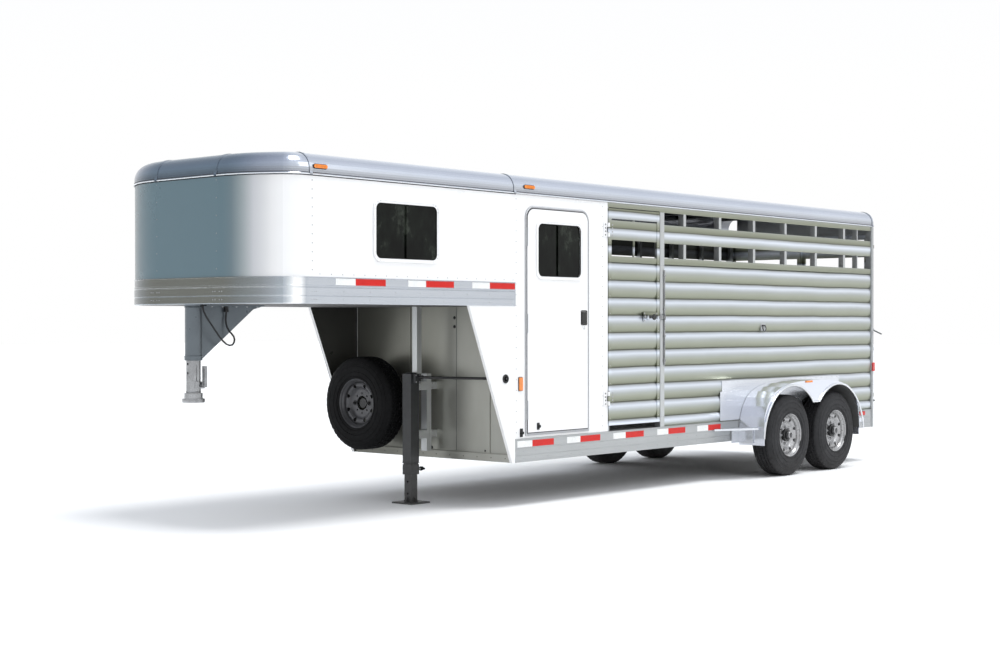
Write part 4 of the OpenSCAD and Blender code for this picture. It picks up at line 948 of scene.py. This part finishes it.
# tie ring on the near wall
hk = Mesh()
hk.box((-2.004, HW - 0.004, 1.400), (-1.916, HW + 0.0035, 1.476), 0.0018)
hk.make("tie_ring_plate", M["post_aluminium"], "trailer", "post_aluminium")
h2 = Mesh()
ring = []
for i in range(28):
    t = math.radians(200 + 320 * i / 27 - 90)
    ring.append(Vector((-1.960 + 0.030 * math.cos(t), HW + 0.010 + 0.010 * (0.5 - 0.5 * math.sin(t)), 1.428 + 0.030 * math.sin(t))))
h2.tube(ring, 0.0045, 10)
h2.tube([(-1.985, HW + 0.010, 1.452), (-1.935, HW + 0.010, 1.452)], 0.0062, 10)
h2.box((-1.978, HW + 0.0022, 1.4435), (-1.942, HW + 0.0165, 1.4605), 0.003)
h2.make("tie_ring", M["black_steel"], "trailer", "black_steel")
h3 = Mesh()
for dx in (-0.034, 0.034):
    for dz in (-0.028, 0.028):
        h3.rivet((-1.960 + dx, HW + 0.0035, 1.438 + dz), (0, 1, 0), 0.004)
h3.make("tie_ring_rivets", RIVET, "trailer")

# ------------------------------------------------------------------ fenders: rolled lip and inner liners
def lip_path():
    def arc(cx, rad, a0, a1, n):
        return [Vector((cx + rad * math.cos(math.radians(a0 + (a1 - a0) * i / n)), 0, 0.347 + rad * math.sin(math.radians(a0 + (a1 - a0) * i / n)))) for i in range(n + 1)]
    mid = (AX1 + AX2) / 2
    hh = 0.700
    a_f = math.degrees(math.acos(min(1, (mid + 0.062 - AX1) / 0.529)))
    z_f = 0.347 + 0.529 * math.sin(math.radians(a_f))
    front = arc(AX1, 0.529, 4, 180 - 0.01, 56)
    front = [q for q in front if q.x > mid + 0.063 or q.z > 9]
    rear = arc(AX2, 0.519, 0.01, 174, 56)
    rear = [q for q in rear if q.x < mid - 0.063]
    return front, rear, mid


front, rear, mid = lip_path()
fl = Mesh()
for sd in (1, -1):
    zt = max(front[-1].z, 0.699)
    pts = front + [Vector((mid + 0.058, 0, 0.703)), Vector((mid + 0.030, 0, 0.7035)), Vector((mid - 0.030, 0, 0.7035)), Vector((mid - 0.058, 0, 0.703))] + rear
    fl.tube([Vector((q.x, sd * (HW + 0.284), q.z)) for q in pts], 0.0095, 12)
fl.make("fender_lips", EDGE, "trailer", "polished_fender")
fr = Mesh()
for sd in (1, -1):
    for q in [(-1.530, 0.40), (-1.545, 0.55), (-1.60, 0.67), (-1.72, 0.775), (-1.90, 0.845), (-2.08, 0.872), (-2.28, 0.890), (-2.55, 0.893), (-2.80, 0.880), (-3.02, 0.850), (-3.20, 0.780), (-3.31, 0.670), (-3.37, 0.54)]:
        pass
# inner liner of the near and far fender, dark
ln = Mesh()
lf = [(-1.530, 0.33), (-1.535, 0.48), (-1.556, 0.58), (-1.598, 0.672), (-1.664, 0.748), (-1.750, 0.803), (-1.865, 0.842), (-2.012, 0.872), (-2.180, 0.887), (-2.380, 0.895), (-2.600, 0.894), (-2.820, 0.882), (-2.975, 0.863), (-3.110, 0.832), (-3.214, 0.784), (-3.290, 0.713), (-3.343, 0.612), (-3.374, 0.498), (-3.381, 0.405)]
for sd in (1, -1):
    v, f = [], []
    for (x0, z0) in lf:
        v += [(x0, sd * (HW + 0.012), z0), (x0, sd * (HW + 0.268), z0)]
    for (x0, z0) in [(q[0] + (0.003 if q[0] < -2.4 else -0.003), q[1] - 0.003) for q in lf]:
        v += [(x0, sd * (HW + 0.012), z0), (x0, sd * (HW + 0.268), z0)]
    n = len(lf)
    for i in range(n - 1):
        f.append([2 * i, 2 * i + 1, 2 * i + 3, 2 * i + 2])
        j = 2 * n
        f.append([j + 2 * i, j + 2 * i + 2, j + 2 * i + 3, j + 2 * i + 1])
        f.append([2 * i, 2 * i + 2, j + 2 * i + 2, j + 2 * i])
        f.append([2 * i + 1, j + 2 * i + 1, j + 2 * i + 3, 2 * i + 3])
    f.append([0, 2 * n, 2 * n + 1, 1])
    f.append([2 * n - 2, 2 * n - 1, 4 * n - 1, 4 * n - 2])
    ln.add(v, f)
ln.make("fender_liners", M["dark_underside"], "trailer", "dark_underside")

# ------------------------------------------------------------------ lamps: gaskets, ribs, screws
lm, lmm, lms = Mesh(), Mesh(), Mesh()


def oval(cx, cz, hl, hr, y, sd, n=8):
    out = []
    for (c, a0) in ((cx + hl, -90), (cx - hl, 90)):
        for i in range(n + 1):
            t = math.radians(a0 + 180 * i / n)
            out.append(Vector((c + hr * math.cos(t), sd * y, cz + hr * math.sin(t))))
    return out


for sd in (1, -1):
    for cx in (3.890, 1.604):
        lm.tube(oval(cx, 2.574, 0.050, 0.0150, HW + 0.0055, sd), 0.0032, 8, True)
        for k in range(-5, 6):
            xx = cx + k * 0.009
            lmm.tube([(xx, sd * (HW + 0.0150), 2.574 - 0.0105), (xx, sd * (HW + 0.0160), 2.574), (xx, sd * (HW + 0.0150), 2.574 + 0.0105)], 0.0016, 6)
    for k in range(9):
        zz = 0.946 + k * 0.0105
        lmm.tube([(1.695, sd * (HW + 0.0118), zz), (1.712, sd * (HW + 0.0128), zz), (1.729, sd * (HW + 0.0118), zz)], 0.0016, 6)
    lm.tube([Vector((q.x, sd * q.y, q.z)) for q in rr_path(1.6885, 0.9345, 1.7355, 1.0415, 0.004, HW + 0.003, 4)], 0.0028, 8, True)
    # tail lamp
    for k in range(10):
        zz = 0.968 + k * 0.0083
        lmm.tube([(-4.196, sd * (HW + 0.0218), zz), (-4.180, sd * (HW + 0.0226), zz), (-4.164, sd * (HW + 0.0218), zz)], 0.0014, 6)
    for k in range(11):
        xx = -3.994 + k * 0.0108
        lmm.tube([(xx, sd * (HW + 0.0118), 0.499), (xx, sd * (HW + 0.0126), 0.514), (xx, sd * (HW + 0.0118), 0.529)], 0.0014, 6)
    lm.tube([Vector((q.x, sd * q.y, q.z)) for q in rr_path(-4.0010, 0.4930, -3.8790, 0.5350, 0.009, HW + 0.0050, 4)], 0.0030, 8, True)
    for k in range(8):
        xx = -2.402 + k * 0.0135
        lmm.tube([(xx, sd * (HW + 0.2898), 0.8965), (xx, sd * (HW + 0.2906), 0.903), (xx, sd * (HW + 0.2898), 0.9095)], 0.0014, 6)
    lms.screw((-2.414, sd * (HW + 0.2785), 0.903), (0, sd, 0), 0.003, 0.003)
lm.make("lamp_gaskets", RUBBER, "trailer")
lmm.make("lamp_ribs", M["lamp_lens"], "trailer", "lamp_lens")
lms.make("lamp_screws", BOLT, "trailer")
# small plate under the side marker
pp = Mesh()
for sd in (1, -1):
    pp.box((-3.985, min(sd * (HW + 0.0005), sd * (HW + 0.0062)), 0.425), (-3.870, max(sd * (HW + 0.0005), sd * (HW + 0.0062)), 0.470), 0.0015)
pp.make("marker_plate", M["bright_plate"], "trailer", "bright_plate")

# ------------------------------------------------------------------ crank port ring, bulkhead fixings and seams, wing edges
wl = Mesh()
wl.lathe([(0.020, -0.004), (0.034, -0.001), (0.036, 0.003), (0.034, 0.0068), (0.024, 0.0085), (0.0205, 0.007), (0.0195, -0.004)], (1.894, HW, 1.034), (0, 1, 0), 36)
wl.make("crank_port_ring", RUBBER, "trailer")
bk = Mesh()
for (yy, zz) in ((0.259, 1.522), (0.259, 1.448), (-0.205, 1.522), (-0.205, 1.448), (0.60, 0.44), (-0.60, 0.44), (0.0, 0.44)):
    bk.screw((FX + 0.0005, yy, zz), (1, 0, 0), 0.009, 0.009)
for yy in np.arange(-0.83, 0.84, 0.151):
    bk.rivet((FX + 0.026, float(yy), RAIL + 0.031), (1, 0, 0), 0.0045)
for zz in np.arange(0.60, 1.58, 0.12):
    for yy in (-0.87, 0.87):
        bk.rivet((FX, yy, float(zz)), (1, 0, 0), 0.0045)
bk.make("bulkhead_fixings", M["black_steel"], "trailer", "black_steel")
sm = Mesh()
for (y0, y1) in ((-0.3325, -0.3275), (0.2775, 0.2825)):
    sm.box((FX - 0.0004, y0, 0.43), (FX + 0.0016, y1, BAND - 0.005), 0.0005)
sm.make("bulkhead_seams", M["mill_aluminium"], "trailer", "mill_aluminium")
ws = Mesh()
for sd in (1,):
    # folded edge along the raking front of the wing
    e0, e1 = Vector((1.812, sd * (HW - 0.003), RAIL + 0.004)), Vector((2.3215, sd * (HW - 0.003), BAND - 0.002))
    ws.tube([e0, e0.lerp(e1, 0.5), e1], 0.0050, 8)
for sd in (-1,):
    e0, e1 = Vector((1.812, sd * (HW - 0.003), RAIL + 0.004)), Vector((2.3215, sd * (HW - 0.003), BAND - 0.002))
    ws.tube([e0, e0.lerp(e1, 0.5), e1], 0.0050, 8)
ws.make("wing_edges", M["white_skin"], "trailer", "white_skin")

# ------------------------------------------------------------------ jack
jk = Mesh()
for (dx, dz) in ((-0.020, 0.996), (0.020, 0.996), (-0.020, 1.051), (0.020, 1.051)):
    jk.screw((JX + dx, JY + 0.048 + 0.034, dz), (0, 1, 0), 0.004, 0.0045)
for z in (0.560, 0.960):
    for dz in (-0.020, 0.020):
        for sd in (1, -1):
            jk.screw((JX - 0.048 - 0.030, JY + sd * 0.040, z + dz), (0, sd, 0), 0.0075, 0.007)
            jk.screw((1.83, JY + sd * 0.024, z + dz), (0, sd, 0), 0.0065, 0.006)
jk.make("jack_bolts", BOLT, "trailer")
jc = Mesh()
jc.lathe([(0.0, 0), (0.049, 0.0), (0.050, 0.002), (0.044, 0.010), (0.030, 0.0135), (0.0003, 0.0145)], (JX, JY, 1.0605), (0, 0, 1), 40)
# weld beads round the housing's lower lip
jc.tube([(JX - 0.0485, JY - 0.0485, 0.331), (JX + 0.0485, JY - 0.0485, 0.331), (JX + 0.0485, JY + 0.0485, 0.331), (JX - 0.0485, JY + 0.0485, 0.331)], 0.0032, 8, True)
jc.make("jack_cap", M["jack_grey"], "trailer", "jack_grey")
jf = Mesh()
o = 0.111
jf.tube([(JX - o + 0.003, JY - o + 0.003, 0.0105), (JX + o - 0.003, JY - o + 0.003, 0.0105), (JX + o - 0.003, JY + o - 0.003, 0.0105), (JX - o + 0.003, JY + o - 0.003, 0.0105)], 0.0022, 6, True)
for t in range(4):
    rt = Matrix.Rotation(math.radians(90 * t), 4, "Z")
    e0 = rt @ Vector((0.038, -0.034, 0.0125))
    e1 = rt @ Vector((0.038, 0.034, 0.0125))
    jf.tube([e0 + Vector((JX, JY, 0)), (e0 + e1) / 2 + Vector((JX, JY, 0)), e1 + Vector((JX, JY, 0))], 0.0030, 8)
jf.make("foot_welds", M["leg_zinc"], "jack_leg", "leg_zinc")
pk = Mesh()
pk.lathe([(0.012, 0.0), (0.0175, 0.002), (0.0185, 0.008), (0.0165, 0.024), (0.0125, 0.030), (0.0003, 0.031)], (JX - 0.048 - 0.062, JY, 0.276), (-1, 0, 0), 28)
for sd in (1, -1):
    pk.lathe([(0.0065, 0.0), (0.0085, 0.002), (0.0085, 0.012), (0.006, 0.015), (0.0003, 0.015)], (JX - 0.048 - 0.080, JY + sd * 0.020, 0.276), (0, sd, 0), 16)
pk.make("jack_pin_grip", M["black_plastic"], "jack_pin", "black_plastic")
# spring round the pin
spr = Mesh()
pts = []
for i in range(90):
    t = i / 89
    aa = 2 * math.pi * 6 * t
    pts.append(Vector((JX - 0.048 - 0.024 - 0.034 * t, JY + 0.0125 * math.cos(aa), 0.276 + 0.0125 * math.sin(aa))))
spr.tube(pts, 0.0016, 6)
spr.make("jack_pin_spring", BOLT, "jack_inner")
# universal joint collars on the crank shaft
cd = Vector((-math.sin(math.radians(11.2)), math.cos(math.radians(11.2)), 0))
cs = Mesh()
c0 = Vector((JX, JY, 1.034))
for d0 in (0.100, 0.845):
    cs.lathe([(0.0112, 0), (0.0150, 0.001), (0.0150, 0.020), (0.0112, 0.021)], c0 + cd * d0, cd, 24)
cs.tube([c0 + cd * 0.111 + Vector((0, 0, 0.018)), c0 + cd * 0.111 - Vector((0, 0, 0.018))], 0.003, 8)
cs.make("crank_collars", M["black_steel"], "jack_crank", "black_steel")

# ------------------------------------------------------------------ coupler
cp = Mesh()
for z in (1.340, 1.260):
    cp.lathe([(0.0165, 0.0), (0.0165, 0.003), (0.0125, 0.004)], (CX, -0.058, z), (0, -1, 0), 20)
# collar at the foot of the outer tube and a weld under the mounting plate
cp.lathe([(0.0602, 0.0), (0.0645, 0.002), (0.0650, 0.030), (0.0602, 0.033)], (CX, 0, 1.212), (0, 0, 1), 56)
cp.lathe([(0.0602, 0.0), (0.0660, 0.004), (0.0602, 0.009)], (CX, 0, BAND - 0.024), (0, 0, 1), 56)
cp.make("coupler_collar", M["coupler_grey"], "trailer", "coupler_grey")
cb = Mesh()
for x0 in (3.70, 3.80, 3.90, 4.03, 4.13):
    for sd in (1, -1):
        cb.screw((x0, sd * 0.028, BAND - 0.012), (0, 0, -1), 0.006, 0.007)
cb.make("coupler_bolts", BOLT, "trailer")
cr = Mesh()
cr.lathe([(0.0802, 0.0015), (0.0815, 0.004), (0.0815, 0.024), (0.0802, 0.0265)], (CX, 0, 0.908), (0, 0, 1), 64)
cr.lathe([(0.0522, 0.0), (0.0545, 0.003), (0.0545, 0.010), (0.0522, 0.013)], (CX, 0, 0.977), (0, 0, 1), 56)
cr.make("coupler_socket_ring", M["stem_zinc"], "coupler_inner", "stem_zinc")
# rings of the cable socket on the gusset
cc = Mesh()
cc.lathe([(0.0155, 0.0), (0.018, 0.002), (0.018, 0.010), (0.0155, 0.012)], (3.992, 0.024, 1.560), (0, 0, 1), 28)
cc.lathe([(0.0155, 0.0), (0.0185, 0.002), (0.0185, 0.006), (0.0155, 0.008)], (3.992, 0.024, 1.590), (0, 0, 1), 28)
cc.make("cable_socket_rings", M["black_plastic"], "trailer", "black_plastic")

# ------------------------------------------------------------------ rear gate details
rg = Mesh()
for z in (0.76, 1.50, 2.24):
    rg.lathe([(0.0085, -0.044), (0.0092, -0.042), (0.0092, 0.082), (0.0085, 0.084)], (-4.213, -(HW - 0.004), z - 0.0), (0, 0, 1), 16)
    for dz in (-0.025, 0.025):
        rg.screw((-4.230, -(HW - 0.030), z + dz), (-1, 0, 0), 0.0052, 0.0045)
for z in np.arange(0.66, 2.40, 0.145):
    rg.rivet((-4.230, -(HW - 0.060), float(z)), (-1, 0, 0), 0.004)
    rg.rivet((-4.230, 0.0, float(z)), (-1, 0, 0), 0.004)
rg.make("rear_gate_fixings", BOLT, "rear_door")
rs = Mesh()
for z in np.arange(0.66, 2.40, 0.145):
    for yy in (0.035, 0.810):
        rs.rivet((-4.258, yy, float(z)), (-1, 0, 0), 0.004)
rs.tube([(-4.259, 0.035, 1.30), (-4.272, 0.035, 1.31), (-4.276, 0.035, 1.33), (-4.276, 0.035, 1.45), (-4.272, 0.035, 1.47), (-4.259, 0.035, 1.48)], 0.005, 10)
rs.make("rear_slider_fixings", BOLT, "rear_half")

# ------------------------------------------------------------------ floor and light
fb = bpy.data.meshes.new("floor")
fb.from_pydata([(-90, -90, 0), (90, -90, 0), (90, 90, 0), (-90, 90, 0)], [], [(0, 1, 2, 3)])
floor = bpy.data.objects.new("floor", fb)
sc.collection.objects.link(floor)
fb.materials.append(material("studio_floor", (0.90, 0.90, 0.90), 0.0, 0.9, var=0.0, bump=0.0, spec=0.0))

world = bpy.data.worlds.new("world")
sc.world = world
world.use_nodes = True
wn = world.node_tree
bg = wn.nodes["Background"]
tcw = wn.nodes.new("ShaderNodeTexCoord")
sw = wn.nodes.new("ShaderNodeSeparateXYZ")
wn.links.new(tcw.outputs["Generated"], sw.inputs[0])
wr = ramp(wn, [(0.0, (1.0, 1.0, 1.0)), (0.14, (1.0, 1.0, 1.0)), (0.5, (0.91, 0.945, 1.0)), (1.0, (0.83, 0.88, 0.95))])
wn.links.new(sw.outputs[2], wr.inputs[0])
wn.links.new(wr.outputs[0], bg.inputs["Color"])
bg.inputs["Strength"].default_value = 1.0


def area(name, loc, target, size, power, col=(1, 1, 1)):
    li = bpy.data.lights.new(name, "AREA")
    li.shape = "RECTANGLE"
    li.size, li.size_y = size
    li.energy = power
    li.color = col
    ob = bpy.data.objects.new(name, li)
    sc.collection.objects.link(ob)
    ob.location = loc
    ob.rotation_mode = "QUATERNION"
    ob.rotation_quaternion = (Vector(target) - Vector(loc)).to_track_quat("-Z", "Y")
    return ob


area("key_light", (-1.0, 10.0, 8.5), (0.0, 0.6, 1.2), (9, 5), 160)
sun = bpy.data.lights.new("sun", "SUN")
sun.energy = 1.75
sun.angle = math.radians(24)
so = bpy.data.objects.new("sun", sun)
sc.collection.objects.link(so)
so.rotation_mode = "QUATERNION"
so.rotation_quaternion = Vector((0.10, -0.28, -1.0)).to_track_quat("-Z", "Y")
